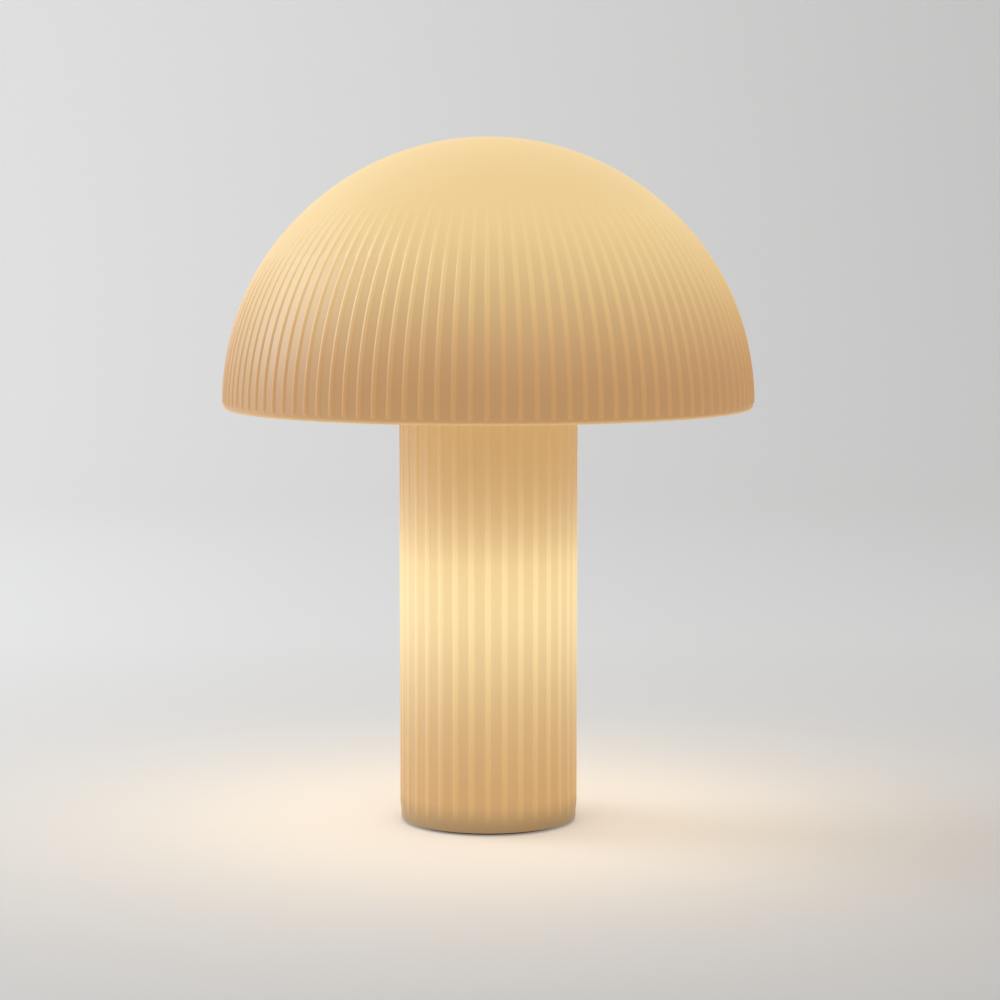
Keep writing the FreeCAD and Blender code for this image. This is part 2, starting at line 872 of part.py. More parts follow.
def make_switch_nut():
    """Ring nut that clamps the switch against the inside of the column."""
    outer = inner_seat(size.switch_nut_radius)
    bore = size.switch_barrel_radius + size.tube_clearance
    body = lathe("switch_nut", [
        (bore, outer - size.switch_nut_height),
        (size.switch_nut_radius, outer - size.switch_nut_height),
        (size.switch_nut_radius, outer),
        (bore, outer),
    ])
    face_rearwards(body, size.switch_height)


def make_switch_button():
    """Push button with a collar behind the lip and a bore for its spring."""
    body = lathe("switch_button", [
        (size.button_bore_radius, button_bottom),
        (size.button_collar_radius, button_bottom),
        (size.button_collar_radius, button_stop),
        (size.button_radius, button_stop),
        (size.button_radius, button_top),
        (0, button_top),
        (0, button_top - size.button_cap),
        (size.button_bore_radius, button_top - size.button_cap),
    ])
    face_rearwards(body, size.switch_height)


def make_switch_spring():
    """Coil spring between the switch's floor and the button."""
    wire = size.spring_wire_radius.value
    bottom = switch_floor + size.spring_wire_radius + size.screw_clearance
    top = button_top - size.button_cap - size.spring_wire_radius - size.screw_clearance
    height = (top - bottom).value
    helix = Part.makeHelix(height / size.spring_turns.value, height, size.spring_radius.value)
    start = FreeCAD.Vector(size.spring_radius.value, 0, 0)
    section = Part.Wire([Part.Circle(start, FreeCAD.Vector(0, 1, 0), wire).toShape()])
    coil = Part.Wire(helix.Edges).makePipeShell([section], True, True)
    spring = shaped("switch_spring", coil)
    face_rearwards(spring, size.switch_height)
    bind(spring, "Placement.Base.y", bottom)


def make_switch_terminals():
    """Two blades at the back of the switch."""
    blades = []
    for side in (-1, 1):
        blades.append(box(f"switch_blade_{2 + side}", size.blade_thickness, size.blade_length, size.blade_width,
                          size.blade_spacing * (side / 2) - size.blade_thickness / 2,
                          switch_back - size.blade_length,
                          size.switch_height - size.blade_width / 2))
    group("switch_terminals", blades)


# ---------------------------------------------------------------- shade


def on_meridian(radius, elevation, offset=0.0):
    """A point of the shade's section, by its elevation above the shade's equator."""
    angle = math.radians(elevation)
    return FreeCAD.Vector(offset + radius * math.cos(angle), 0, shade_centre.value + radius * math.sin(angle))


def shade_sector(pitch):
    """One rib's share of the dome: a slice of the shell with a rib that sinks into it near the crown."""
    outer = size.shade_radius.value
    inner = shade_bore.value
    lip = size.shade_wall.value / 2
    lip_elevation = math.degrees(math.asin((lip - size.shade_below_equator.value) / outer))
    lip_angle = math.radians(lip_elevation)
    downwards = FreeCAD.Vector(math.sin(lip_angle), 0, -math.cos(lip_angle))
    lip_bottom = on_meridian((outer + inner) / 2, lip_elevation) + downwards * lip
    outline = Part.Wire([
        Part.Arc(on_meridian(outer, lip_elevation), on_meridian(outer, 45), on_meridian(outer, 90)).toShape(),
        Part.makeLine(on_meridian(outer, 90), on_meridian(inner, 90)),
        Part.Arc(on_meridian(inner, 90), on_meridian(inner, 45), on_meridian(inner, lip_elevation)).toShape(),
        Part.Arc(on_meridian(inner, lip_elevation), lip_bottom, on_meridian(outer, lip_elevation)).toShape(),
    ])
    axis = FreeCAD.Vector(0, 0, 1)
    slice_of_shell = Part.Face(outline).revolve(FreeCAD.Vector(0, 0, 0), axis, pitch)
    drift = size.shade_rib_drift.value
    rib_radius = size.shade_rib_radius.value
    path_radius = outer + size.shade_rib_height.value - rib_radius - drift
    section = Part.Circle(on_meridian(path_radius, lip_elevation, drift), -downwards, rib_radius).toShape()
    rib = Part.Face(Part.Wire([section])).revolve(FreeCAD.Vector(drift, 0, shade_centre.value),
                                                  FreeCAD.Vector(0, -1, 0), SHADE_RIB_SWEEP)
    rib.rotate(FreeCAD.Vector(0, 0, 0), axis, pitch / 2)
    return slice_of_shell.fuse(rib)


def is_side(face, pitch):
    """Whether a face is one of the two flat sides where a slice meets its neighbours."""
    centre = face.CenterOfMass
    turn = math.degrees(math.atan2(centre.y, centre.x))
    at_side = min(abs(turn), abs(turn - pitch)) < pitch * 1e-4
    return at_side and face.Surface.TypeId == "Part::GeomPlane"


def make_shade():
    """Hemispherical translucent shade with fine meridian ribs and three inner lugs."""
    count = int(round(size.shade_rib_count.value))
    pitch = 360 / count
    axis = FreeCAD.Vector(0, 0, 1)
    skins = [face for face in shade_sector(pitch).Faces if not is_side(face, pitch)]
    faces = []
    for number in range(count):
        for skin in skins:
            turned = skin.copy()
            turned.rotate(FreeCAD.Vector(0, 0, 0), axis, (number - 0.5) * pitch)
            faces.append(turned)
    shell = Part.makeCompound(faces)
    shell.sewShape()
    dome = Part.Solid(shell.Shells[0])
    lugs = []
    holes = []
    for angle in ARM_ANGLES:
        corner = FreeCAD.Vector(lug_end.value - size.lug_length.value, -size.lug_width.value / 2, carrier_top.value)
        lug = Part.makeBox(size.lug_length.value, size.lug_width.value, size.lug_height.value, corner)
        lug.rotate(FreeCAD.Vector(0, 0, 0), axis, angle)
        lugs.append(lug)
        x, y = polar(carrier_screw_circle, angle)
        depth = size.carrier_screw_length.value - size.carrier_thickness.value + size.screw_head_sink.value
        holes.append(Part.makeCylinder(screw_hole.value, depth, FreeCAD.Vector(x.value, y.value, carrier_top.value)))
    shaped("dome_shade", dome.fuse(lugs).cut(holes))


def make_carrier():
    """Clear three-armed carrier: its ring sits on the column's top edge and its spigot inside the bore."""
    spigot = column_bore - size.spigot_clearance
    ring_bore = spigot - size.spigot_wall
    body = lathe("shade_carrier", [
        (ring_bore, column_top - size.spigot_depth),
        (spigot, column_top - size.spigot_depth),
        (spigot, column_top),
        (size.column_radius, column_top),
        (size.column_radius, carrier_top),
        (ring_bore, carrier_top),
    ])
    arm = new_sketch(body, "carrier_arm", "XY_Plane", column_top)
    half = size.arm_width / 2
    draw_outline(arm, [(-half, spigot), (half, spigot), (half, arm_end), (-half, arm_end)])
    arm_pad = pad(body, arm, size.carrier_thickness)
    repeat_round_axis(body, [arm_pad], len(ARM_ANGLES))
    hole = new_sketch(body, "carrier_hole", "XY_Plane", carrier_top)
    draw_circle(hole, 0, carrier_screw_circle, screw_hole)
    through = pocket_through(body, hole)
    repeat_round_axis(body, [through], len(ARM_ANGLES))


def make_carrier_screws():
    """Three screws from below that hold the shade's lugs down on the carrier's arms."""
    pieces = []
    for number, angle in enumerate(ARM_ANGLES, start=1):
        x, y = polar(carrier_screw_circle, angle)
        pieces.append(cylinder(f"carrier_screw_head_{number}", size.screw_head_radius, size.screw_head_height,
                               x, y, column_top - size.screw_head_height))
        pieces.append(cylinder(f"carrier_screw_shank_{number}", size.screw_radius, size.carrier_screw_length,
                               x, y, column_top))
    group("carrier_screws", pieces)


SUB_PARTS = {
    "foot_ring": make_foot_ring,
    "base_plate": make_base_plate,
    "base_screws": make_base_screws,
    "ballast_disc": make_ballast,
    "threaded_tube": make_threaded_tube,
    "tube_nuts": make_tube_nuts,
    "clamp_washer": make_washer,
    "column": make_column,
    "lampholder_cup": make_holder_cup,
    "lampholder_core": make_holder_core,
    "lampholder_thread": make_holder_thread,
    "lampholder_contact": make_holder_contact,
    "lampholder_sleeve": make_holder_sleeve,
    "bulb_contact": make_bulb_contact,
    "bulb_insulator": make_bulb_insulator,
    "bulb_cap": make_bulb_cap,
    "bulb_glass": make_bulb_glass,
    "bulb_stem": make_bulb_stem,
    "led_filaments": make_filaments,
    "terminal_block": make_terminal_block,
    "block_screws": make_block_screws,
    "inner_wires": make_wires,
    "cord_grommet": make_cord_grommet,
    "switch_body": make_switch_body,
    "switch_nut": make_switch_nut,
    "switch_button": make_switch_button,
    "switch_spring": make_switch_spring,
    "switch_terminals": make_switch_terminals,
    "dome_shade": make_shade,
    "shade_carrier": make_carrier,
    "carrier_screws": make_carrier_screws,
}


def check_document():
    """Stop if any object of the document failed to build."""
    for item in doc.Objects:
        if "Invalid" in item.State or "Error" in item.State:
            raise RuntimeError(f"{item.Name} failed: {item.State}")


def sub_part(name):
    """The object whose label is a sub-part's name, with its shape checked."""
    item = doc.getObjectsByLabel(name)[0]
    if item.Shape.isNull() or not item.Shape.isValid() or not item.Shape.Solids:
        raise RuntimeError(f"{name} has no valid solid")
    return item


def main():
    """Build every sub-part, check them all and write their files."""
    for build in SUB_PARTS.values():
        build()
    doc.recompute()
    check_document()
    items = [sub_part(name) for name in SUB_PARTS]
    os.makedirs("parts", exist_ok=True)
    for item in items:
        item.Shape.exportStep(f"parts/{item.Label}.step")
        print(f"{item.Label}: {len(item.Shape.Solids)} solid(s), {item.Shape.Volume:.1f} mm3")


main()
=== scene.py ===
"""Looks of the mushroom table lamp: ribbed translucent shade and column, lit from inside."""
import json
import logging
import math
from dataclasses import dataclass, field
from enum import Enum
from typing import Callable, Sequence

import bmesh
import bpy
from bpy.types import Material, Mesh, Node, NodeOutputs, NodeSocket, NodeTree, Object
from mathutils import Matrix, Vector


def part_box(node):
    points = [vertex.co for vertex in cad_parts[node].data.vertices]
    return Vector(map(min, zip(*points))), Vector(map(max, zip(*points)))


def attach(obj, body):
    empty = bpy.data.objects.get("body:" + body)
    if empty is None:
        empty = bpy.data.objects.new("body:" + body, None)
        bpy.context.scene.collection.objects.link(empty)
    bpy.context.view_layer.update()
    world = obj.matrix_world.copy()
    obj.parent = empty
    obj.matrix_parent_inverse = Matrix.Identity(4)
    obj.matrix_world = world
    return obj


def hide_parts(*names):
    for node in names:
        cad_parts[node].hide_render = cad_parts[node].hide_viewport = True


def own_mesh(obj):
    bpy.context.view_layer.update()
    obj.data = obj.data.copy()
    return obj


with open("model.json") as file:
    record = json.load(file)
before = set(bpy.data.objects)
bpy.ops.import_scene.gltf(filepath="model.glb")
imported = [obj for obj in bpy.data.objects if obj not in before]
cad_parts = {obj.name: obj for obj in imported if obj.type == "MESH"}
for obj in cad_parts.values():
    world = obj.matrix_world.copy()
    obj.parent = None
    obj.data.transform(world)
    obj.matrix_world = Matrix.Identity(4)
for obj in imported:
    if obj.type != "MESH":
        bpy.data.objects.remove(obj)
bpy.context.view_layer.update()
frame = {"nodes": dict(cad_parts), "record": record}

MM = 0.001
TURN = 2 * math.pi
MERGE_DISTANCE = 0.00001
SHARP_EDGE = math.radians(32)
ROUNDING = 0.001
WELD_DISTANCE = 0.000002
FLOAT = "NodeSocketFloat"

log = logging.getLogger("lamp")

Point = tuple[float, float]
Colour = tuple[float, float, float]
Level = Callable[["Tree", NodeSocket], NodeSocket]


class Body(Enum):
    """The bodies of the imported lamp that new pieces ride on."""

    BASE = "base"
    SHADE = "shade"


class Pattern(Enum):
    """What the surface of a plain finish shows."""

    MOULDED = "moulded"
    SPANGLED = "spangled"
    TURNED = "turned"
    SPECKLED = "speckled"


# ---------------------------------------------------------------- node trees


class Tree:
    """A thin wrapper that adds and links the nodes of one tree."""

    def __init__(self, tree: NodeTree) -> None:
        """Wrap a node tree.

        Args:
            tree: The tree that nodes are added to.
        """
        self.tree = tree

    def add(self, kind: str, inputs: dict | None = None, **settings) -> Node:
        """Add a node, set its properties and fill or link its inputs.

        Args:
            kind: The node's type name.
            inputs: Values or sockets by input name or index.
            settings: Properties of the node.

        Returns:
            The new node.
        """
        node = self.tree.nodes.new(kind)
        for name, value in settings.items():
            setattr(node, name, value)
        for key, value in (inputs or {}).items():
            self.feed(node.inputs[key], value)
        return node

    def feed(self, socket: NodeSocket, value) -> None:
        """Link a socket to another, or set its plain value."""
        if isinstance(value, NodeSocket):
            self.tree.links.new(value, socket)
        else:
            socket.default_value = value

    def math(self, operation: str, *values) -> NodeSocket:
        """Add a Math node and return its result."""
        return self.add("ShaderNodeMath", dict(enumerate(values)), operation=operation).outputs[0]

    def vector(self, operation: str, *values) -> NodeSocket:
        """Add a Vector Math node and return its vector result."""
        return self.add("ShaderNodeVectorMath", dict(enumerate(values)), operation=operation).outputs[0]

    def scaled(self, vector, scale) -> NodeSocket:
        """Scale a vector or a colour by a number or socket."""
        return self.add("ShaderNodeVectorMath", {0: vector, "Scale": scale}, operation="SCALE").outputs[0]

    def axes(self, vector) -> NodeOutputs:
        """Split a vector into x, y and z."""
        return self.add("ShaderNodeSeparateXYZ", {0: vector}).outputs

    def length(self, vector) -> NodeSocket:
        """Length of a vector."""
        return self.add("ShaderNodeVectorMath", {0: vector}, operation="LENGTH").outputs["Value"]

    def ramp(self, value, low, high, start=0.0, end=1.0, smooth: bool = False) -> NodeSocket:
        """Map a value from low..high to start..end, clamped.

        Args:
            value: The socket or number to map.
            low: The value that gives start.
            high: The value that gives end.
            start: The result at low.
            end: The result at high.
            smooth: Whether the result eases in and out.

        Returns:
            The mapped socket.
        """
        kind = "SMOOTHSTEP" if smooth else "LINEAR"
        node = self.add("ShaderNodeMapRange", {0: value, 1: low, 2: high, 3: start, 4: end},
                        interpolation_type=kind, clamp=True)
        return node.outputs[0]

    def mix(self, share, first, second) -> NodeSocket:
        """Mix two colours by a share."""
        node = self.add("ShaderNodeMix", data_type="RGBA")
        for index, value in ((0, share), (6, first), (7, second)):
            self.feed(node.inputs[index], value)
        return node.outputs[2]

    def group(self, group: NodeTree, inputs: dict) -> NodeOutputs:
        """Place a node group, fill its inputs and return its outputs."""
        node = self.add("ShaderNodeGroup", node_tree=group)
        for label, value in inputs.items():
            self.feed(node.inputs[label], value)
        return node.outputs


def new_group(name: str, inputs: Sequence[tuple], outputs: Sequence[tuple]) -> tuple[Tree, dict, Node]:
    """Make a shader node group with named inputs and outputs.

    Args:
        name: The group's name.
        inputs: Name, socket type and default value of each input.
        outputs: Name and socket type of each output.

    Returns:
        The wrapped tree, its input sockets by name, and its output node.
    """
    group = bpy.data.node_groups.new(name, "ShaderNodeTree")
    for label, kind, value in inputs:
        group.interface.new_socket(label, in_out="INPUT", socket_type=kind).default_value = value
    for label, kind in outputs:
        group.interface.new_socket(label, in_out="OUTPUT", socket_type=kind)
    tree = Tree(group)
    given = tree.add("NodeGroupInput").outputs
    return tree, {label: given[label] for label, _, _ in inputs}, tree.add("NodeGroupOutput")


def grain_group() -> NodeTree:
    """Fine moulded grain: a height for bump and a slow cloudy variation."""
    tree, given, result = new_group(
        "moulded_grain",
        [("Vector", "NodeSocketVector", (0, 0, 0)), ("Grain Scale", FLOAT, 1400.0),
         ("Cloud Scale", FLOAT, 14.0)],
        [("Height", FLOAT), ("Cloud", FLOAT)])
    fine = tree.add("ShaderNodeTexNoise", {"Vector": given["Vector"], "Scale": given["Grain Scale"],
            "Detail": 2.0, "Roughness": 0.6})
    cloud = tree.add("ShaderNodeTexNoise", {"Vector": given["Vector"], "Scale": given["Cloud Scale"],
            "Detail": 3.0, "Roughness": 0.5})
    tree.feed(result.inputs["Height"], fine.outputs[0])
    tree.feed(result.inputs["Cloud"], tree.ramp(cloud.outputs[0], 0.3, 0.7))
    return tree.tree


def rib_group() -> NodeTree:
    """Mask of the ribs round the z axis: 1 over a rib's rounded top, 0 between ribs."""
    tree, given, result = new_group(
        "rib_mask",
        [("Vector", "NodeSocketVector", (0, 0, 0)), ("Ribs", FLOAT, 34.0),
         ("Crest Phase", FLOAT, 0.0), ("Share", FLOAT, 0.4)],
        [("Mask", FLOAT)])
    parts = tree.axes(given["Vector"])
    turns = tree.math("DIVIDE", tree.math("ARCTAN2", parts[1], parts[0]), TURN)
    pitches = tree.math("SUBTRACT", tree.math("MULTIPLY", turns, given["Ribs"]), given["Crest Phase"])
    away = tree.math("ABSOLUTE", tree.math("SUBTRACT", tree.math("FRACT", tree.math("ADD", pitches, 0.5)), 0.5))
    foot = tree.math("MULTIPLY", given["Share"], 0.5)
    top = tree.math("MULTIPLY", given["Share"], 0.3)
    tree.feed(result.inputs["Mask"], tree.ramp(away, foot, top, smooth=True))
    return tree.tree


def glow_group() -> NodeTree:
    """Lamplight through a wall: it pales with its level, dims between ribs and is brightest inside."""
    tree, given, result = new_group(
        "lamplight",
        [("Level", FLOAT, 0.5), ("Deep", "NodeSocketColor", (0.2, 0.1, 0.03, 1)),
         ("Pale", "NodeSocketColor", (0.6, 0.5, 0.3, 1)), ("Within", "NodeSocketColor", (1, 0.7, 0.3, 1)),
         ("Inside", FLOAT, 0.0), ("Rib", FLOAT, 0.0), ("Rib Weight", FLOAT, 1.0),
         ("Fade", FLOAT, 1.0), ("Valley", FLOAT, 0.92), ("Crest", FLOAT, 1.1)],
        [("Colour", "NodeSocketColor")])
    outside = tree.mix(given["Level"], given["Deep"], given["Pale"])
    lift = tree.add("ShaderNodeMapRange", {0: given["Rib"], 1: 0.0, 2: 1.0, 3: given["Valley"],
            4: given["Crest"]}).outputs[0]
    weighted = tree.add("ShaderNodeMapRange", {0: given["Rib Weight"], 1: 0.0, 2: 1.0, 3: 1.0, 4: lift}).outputs[0]
    shown = tree.scaled(outside, tree.math("MULTIPLY", weighted, given["Fade"]))
    tree.feed(result.inputs["Colour"], tree.mix(given["Inside"], shown, given["Within"]))
    return tree.tree


def pattern_group(name: str) -> tuple[Tree, dict, Node]:
    """Start a group that puts out a tone and a height of a pattern, at a given scale."""
    return new_group(name, [("Vector", "NodeSocketVector", (0, 0, 0)), ("Scale", FLOAT, 1000.0)],
                     [("Tone", FLOAT), ("Height", FLOAT)])


def spangle_group() -> NodeTree:
    """Crystals of a zinc coat, as a tone, with the fine scratches of handling as a height."""
    tree, given, result = pattern_group("zinc_spangle")
    crystals = tree.add("ShaderNodeTexVoronoi", {"Vector": given["Vector"], "Scale": given["Scale"]})
    stretched = tree.vector("MULTIPLY", given["Vector"], (3000, 400, 400))
    scratches = tree.add("ShaderNodeTexNoise", {"Vector": stretched, "Scale": 1.0, "Detail": 2.0})
    tree.feed(result.inputs["Tone"], tree.axes(crystals.outputs["Color"])[0])
    tree.feed(result.inputs["Height"], scratches.outputs[0])
    return tree.tree


def turned_group() -> NodeTree:
    """Fine rings that a lathe leaves round the z axis, with a slow tone of handling."""
    tree, given, result = pattern_group("turned_rings")
    parts = tree.axes(given["Vector"])
    across = tree.math("SQRT", tree.math("ADD", tree.math("MULTIPLY", parts[0], parts[0]),
            tree.math("MULTIPLY", parts[1], parts[1])))
    along = tree.math("ADD", tree.math("MULTIPLY", parts[2], given["Scale"]),
                      tree.math("MULTIPLY", across, given["Scale"]))
    rings = tree.add("ShaderNodeTexNoise", {"W": along, "Scale": 1.0, "Detail": 1.0}, noise_dimensions="1D")
    tone = tree.add("ShaderNodeTexNoise", {"Vector": given["Vector"], "Scale": 160.0, "Detail": 3.0})
    tree.feed(result.inputs["Tone"], tree.ramp(tone.outputs[0], 0.35, 0.65))
    tree.feed(result.inputs["Height"], rings.outputs[0])
    return tree.tree


def speckle_group() -> NodeTree:
    """Small pits or specks, as a tone and a height."""
    tree, given, result = pattern_group("specks")
    cells = tree.add("ShaderNodeTexVoronoi", {"Vector": given["Vector"], "Scale": given["Scale"]})
    lumps = tree.add("ShaderNodeTexNoise", {"Vector": given["Vector"], "Scale": given["Scale"], "Detail": 4.0,
            "Roughness": 0.7})
    tree.feed(result.inputs["Tone"], tree.ramp(cells.outputs["Distance"], 0.05, 0.3))
    tree.feed(result.inputs["Height"], lumps.outputs[0])
    return tree.tree


GRAIN = grain_group()
RIBS = rib_group()
GLOW = glow_group()
PATTERN_GROUPS = {Pattern.SPANGLED: spangle_group(), Pattern.TURNED: turned_group(),
                  Pattern.SPECKLED: speckle_group()}


def new_material(name: str) -> tuple[Material, Tree, Node, NodeSocket]:
    """Make a material with its Principled shader.

    Args:
        name: The material's name.

    Returns:
        The material, its wrapped node tree, its Principled node and its object coordinates.
    """
    material = bpy.data.materials.new(name)
    material.use_nodes = True
    tree = Tree(material.node_tree)
    place = tree.add("ShaderNodeTexCoord").outputs["Object"]
    return material, tree, material.node_tree.nodes["Principled BSDF"], place


# ---------------------------------------------------------------- finishes


@dataclass(frozen=True)
class LitPlastic:
    """Satin translucent plastic that a bulb shines through.

    The wall's own colour is what daylight shows; the lamplight is added to it.
    """

    name: str
    colour: Colour
    deep: Colour
    pale: Colour
    within: Colour
    ribs: int
    crest_phase: float
    rib_share: float
    level: Level
    inside: Level
    rib_weight: Level
    fade: Level | None = None
    roughness: float = 0.40
    roughness_spread: float = 0.06
    gloss: float = 1.0

    def material(self) -> Material:
        """Build the material."""
        material, tree, shader, place = new_material(self.name)
        grain = tree.group(GRAIN, {"Vector": place})
        rib = tree.group(RIBS, {"Vector": place, "Ribs": float(self.ribs), "Crest Phase": self.crest_phase,
                "Share": self.rib_share})
        darker = tuple(channel * 0.93 for channel in self.colour)
        tree.feed(shader.inputs["Base Color"], tree.mix(grain["Cloud"], (*darker, 1), (*self.colour, 1)))
        level = tree.math("MULTIPLY", self.level(tree, place), tree.ramp(grain["Cloud"], 0.0, 1.0, 0.97, 1.0))
        glow = tree.group(GLOW, {
            "Level": level, "Deep": (*self.deep, 1), "Pale": (*self.pale, 1), "Within": (*self.within, 1),
            "Inside": self.inside(tree, place), "Rib": rib["Mask"], "Rib Weight": self.rib_weight(tree, place),
            "Fade": self.fade(tree, place) if self.fade else 1.0})
        tree.feed(shader.inputs["Emission Color"], glow["Colour"])
        shader.inputs["Emission Strength"].default_value = 1.0
        tree.feed(shader.inputs["Roughness"],
                  tree.ramp(grain["Cloud"], 0.0, 1.0, self.roughness, self.roughness + self.roughness_spread))
        shader.inputs["Specular IOR Level"].default_value = self.gloss
        bump = tree.add("ShaderNodeBump", {"Height": grain["Height"], "Strength": 0.08, "Distance": 0.0002})
        tree.feed(shader.inputs["Normal"], bump.outputs[0])
        return material


@dataclass(frozen=True)
class Finish:
    """A plain finish: two tones in a pattern, a roughness that varies, and a fine relief."""

    name: str
    colour: Colour
    tone: Colour
    roughness: tuple[float, float]
    pattern: Pattern = Pattern.MOULDED
    pattern_scale: float = 1200.0
    relief: float = 0.1
    relief_depth: float = 0.05 * MM
    metallic: float = 0.0
    gloss: float = 0.5
    transmission: float = 0.0
    coat: float = 0.0
    light: Colour | None = None
    light_strength: float = 1.0

    def material(self) -> Material:
        """Build the material."""
        material, tree, shader, place = new_material(self.name)
        grain = tree.group(GRAIN, {"Vector": place, "Grain Scale": self.pattern_scale, "Cloud Scale": 60.0})
        tone, height = grain["Cloud"], grain["Height"]
        if self.pattern is not Pattern.MOULDED:
            pattern = tree.group(PATTERN_GROUPS[self.pattern], {"Vector": place, "Scale": self.pattern_scale})
            tone, height = pattern["Tone"], pattern["Height"]
        tree.feed(shader.inputs["Base Color"], tree.mix(tone, (*self.tone, 1), (*self.colour, 1)))
        tree.feed(shader.inputs["Roughness"], tree.ramp(grain["Cloud"], 0.0, 1.0, *self.roughness))
        bump = tree.add("ShaderNodeBump", {"Height": height, "Strength": self.relief,
                "Distance": self.relief_depth})
        tree.feed(shader.inputs["Normal"], bump.outputs[0])
        for label, value in (("Metallic", self.metallic), ("Specular IOR Level", self.gloss),
                             ("Transmission Weight", self.transmission), ("Coat Weight", self.coat)):
            shader.inputs[label].default_value = value
        if self.light is not None:
            dim = tuple(channel * 0.9 for channel in self.light)
            tree.feed(shader.inputs["Emission Color"], tree.mix(grain["Cloud"], (*dim, 1), (*self.light, 1)))
            shader.inputs["Emission Strength"].default_value = self.light_strength
        return material


FINISHES = {
    # painted lamplight: the frosted carrier glows warm though it is no lamp
    "carrier_plastic": Finish("frosted_carrier", (0.93, 0.88, 0.78), (0.88, 0.82, 0.70), (0.30, 0.42),
        relief=0.15, transmission=0.35, light=(0.62, 0.45, 0.24), light_strength=0.7),
    "steel_painted": Finish("powder_coat", (0.34, 0.27, 0.21), (0.29, 0.23, 0.18), (0.50, 0.62),
        pattern_scale=700.0, relief=0.35, relief_depth=0.08 * MM),
    "iron": Finish("sand_cast_iron", (0.16, 0.155, 0.155), (0.07, 0.065, 0.06), (0.60, 0.80), Pattern.SPECKLED,
                   420.0, 0.6, 0.3 * MM, metallic=0.9),
    "zinc_steel": Finish("zinc_plate", (0.66, 0.66, 0.64), (0.52, 0.53, 0.53), (0.28, 0.42), Pattern.SPANGLED,
        1500.0, 0.10, 0.02 * MM, metallic=1.0),
    "brass_part": Finish("plain_brass", (0.80, 0.61, 0.31), (0.62, 0.44, 0.20), (0.25, 0.42), Pattern.TURNED,
        2600.0, 0.15, 0.02 * MM, metallic=1.0),
    "holder_plastic": Finish("black_thermoset", (0.040, 0.038, 0.036), (0.025, 0.024, 0.023), (0.28, 0.40),
        relief=0.08),
    "holder_ceramic": Finish("plain_ceramic", (0.88, 0.86, 0.82), (0.74, 0.71, 0.66), (0.50, 0.65),
        Pattern.SPECKLED, 1600.0, 0.12, 0.03 * MM),
    "opal_glass": Finish("opal_globe", (0.97, 0.93, 0.85), (0.95, 0.90, 0.81), (0.10, 0.16), relief=0.02,
        light=(1.0, 0.86, 0.62), light_strength=1.6),
    "clear_glass": Finish("clear_stem", (0.97, 0.98, 0.98), (0.94, 0.96, 0.96), (0.02, 0.06), relief=0.04,
        transmission=1.0),
    "filament": Finish("phosphor_coat", (1.0, 0.82, 0.45), (0.95, 0.70, 0.30), (0.55, 0.70), Pattern.SPECKLED,
        2400.0, 0.2, 0.03 * MM, light=(1.0, 0.83, 0.48), light_strength=3.0),
    "cap_metal": Finish("rolled_cap", (0.78, 0.78, 0.77), (0.66, 0.66, 0.66), (0.22, 0.36), Pattern.TURNED,
        2200.0, 0.15, 0.02 * MM, metallic=1.0),
    "solder": Finish("solder_drop", (0.72, 0.72, 0.72), (0.55, 0.55, 0.56), (0.30, 0.50), relief=0.3,
        pattern_scale=800.0, metallic=1.0),
    "black_glass": Finish("vitrified_black", (0.02, 0.02, 0.03), (0.035, 0.035, 0.045), (0.06, 0.14),
        relief=0.1, coat=0.5),
    "block_plastic": Finish("natural_nylon", (0.90, 0.89, 0.84), (0.84, 0.82, 0.76), (0.38, 0.50), relief=0.12),
    "wire_sheath": Finish("wire_cover", (0.23, 0.125, 0.07), (0.17, 0.09, 0.05), (0.38, 0.52), relief=0.1),
    "foot_rubber": Finish("foot_rubber", (0.055, 0.048, 0.042), (0.035, 0.030, 0.026), (0.70, 0.85),
        pattern_scale=900.0, relief=0.3, gloss=0.3),
    "grommet_rubber": Finish("grommet_rubber", (0.25, 0.18, 0.12), (0.19, 0.135, 0.09), (0.60, 0.75),
        pattern_scale=1100.0, relief=0.2, gloss=0.35),
    # painted lamplight: the switch plastic glows faintly warm though it is no lamp
    "switch_plastic": Finish("switch_plastic", (0.62, 0.45, 0.27), (0.56, 0.40, 0.235), (0.34, 0.46),
        relief=0.12, light=(0.12, 0.07, 0.02)),
    "spring_steel": Finish("drawn_spring", (0.56, 0.56, 0.56), (0.44, 0.44, 0.45), (0.25, 0.38), Pattern.TURNED,
        3000.0, 0.1, 0.02 * MM, metallic=1.0),
}


# ---------------------------------------------------------------- meshes


def link(obj: Object) -> Object:
    """Put an object in the scene and return it."""
    bpy.context.scene.collection.objects.link(obj)
    return obj


def mesh_object(name: str, mesh: Mesh, material: Material | None = None) -> Object:
    """Make a smooth shaded object of a mesh, with crisp edges where it turns sharply.

    Args:
        name: The object's name.
        mesh: Its mesh.
        material: Its only material.

    Returns:
        The object, linked to the scene.
    """
    if material is not None:
        mesh.materials.clear()
        mesh.materials.append(material)
    for polygon in mesh.polygons:
        polygon.use_smooth = True
    mesh.set_sharp_from_angle(angle=SHARP_EDGE)
    return link(bpy.data.objects.new(name, mesh))


def shaped_mesh(name: str, shape: bmesh.types.BMesh) -> Mesh:
    """Turn a bmesh into a mesh with its faces outwards, and free it."""
    bmesh.ops.remove_doubles(shape, verts=shape.verts, dist=MERGE_DISTANCE)
    bmesh.ops.recalc_face_normals(shape, faces=shape.faces)
    mesh = bpy.data.meshes.new(name)
    shape.to_mesh(mesh)
    shape.free()
    return mesh


def evaluated(obj: Object) -> Mesh:
    """Bake an object's modifiers to a plain mesh, then remove the object."""
    graph = bpy.context.evaluated_depsgraph_get()
    mesh = bpy.data.meshes.new_from_object(obj.evaluated_get(graph))
    mesh.name = obj.name
    bpy.data.objects.remove(obj)
    return mesh


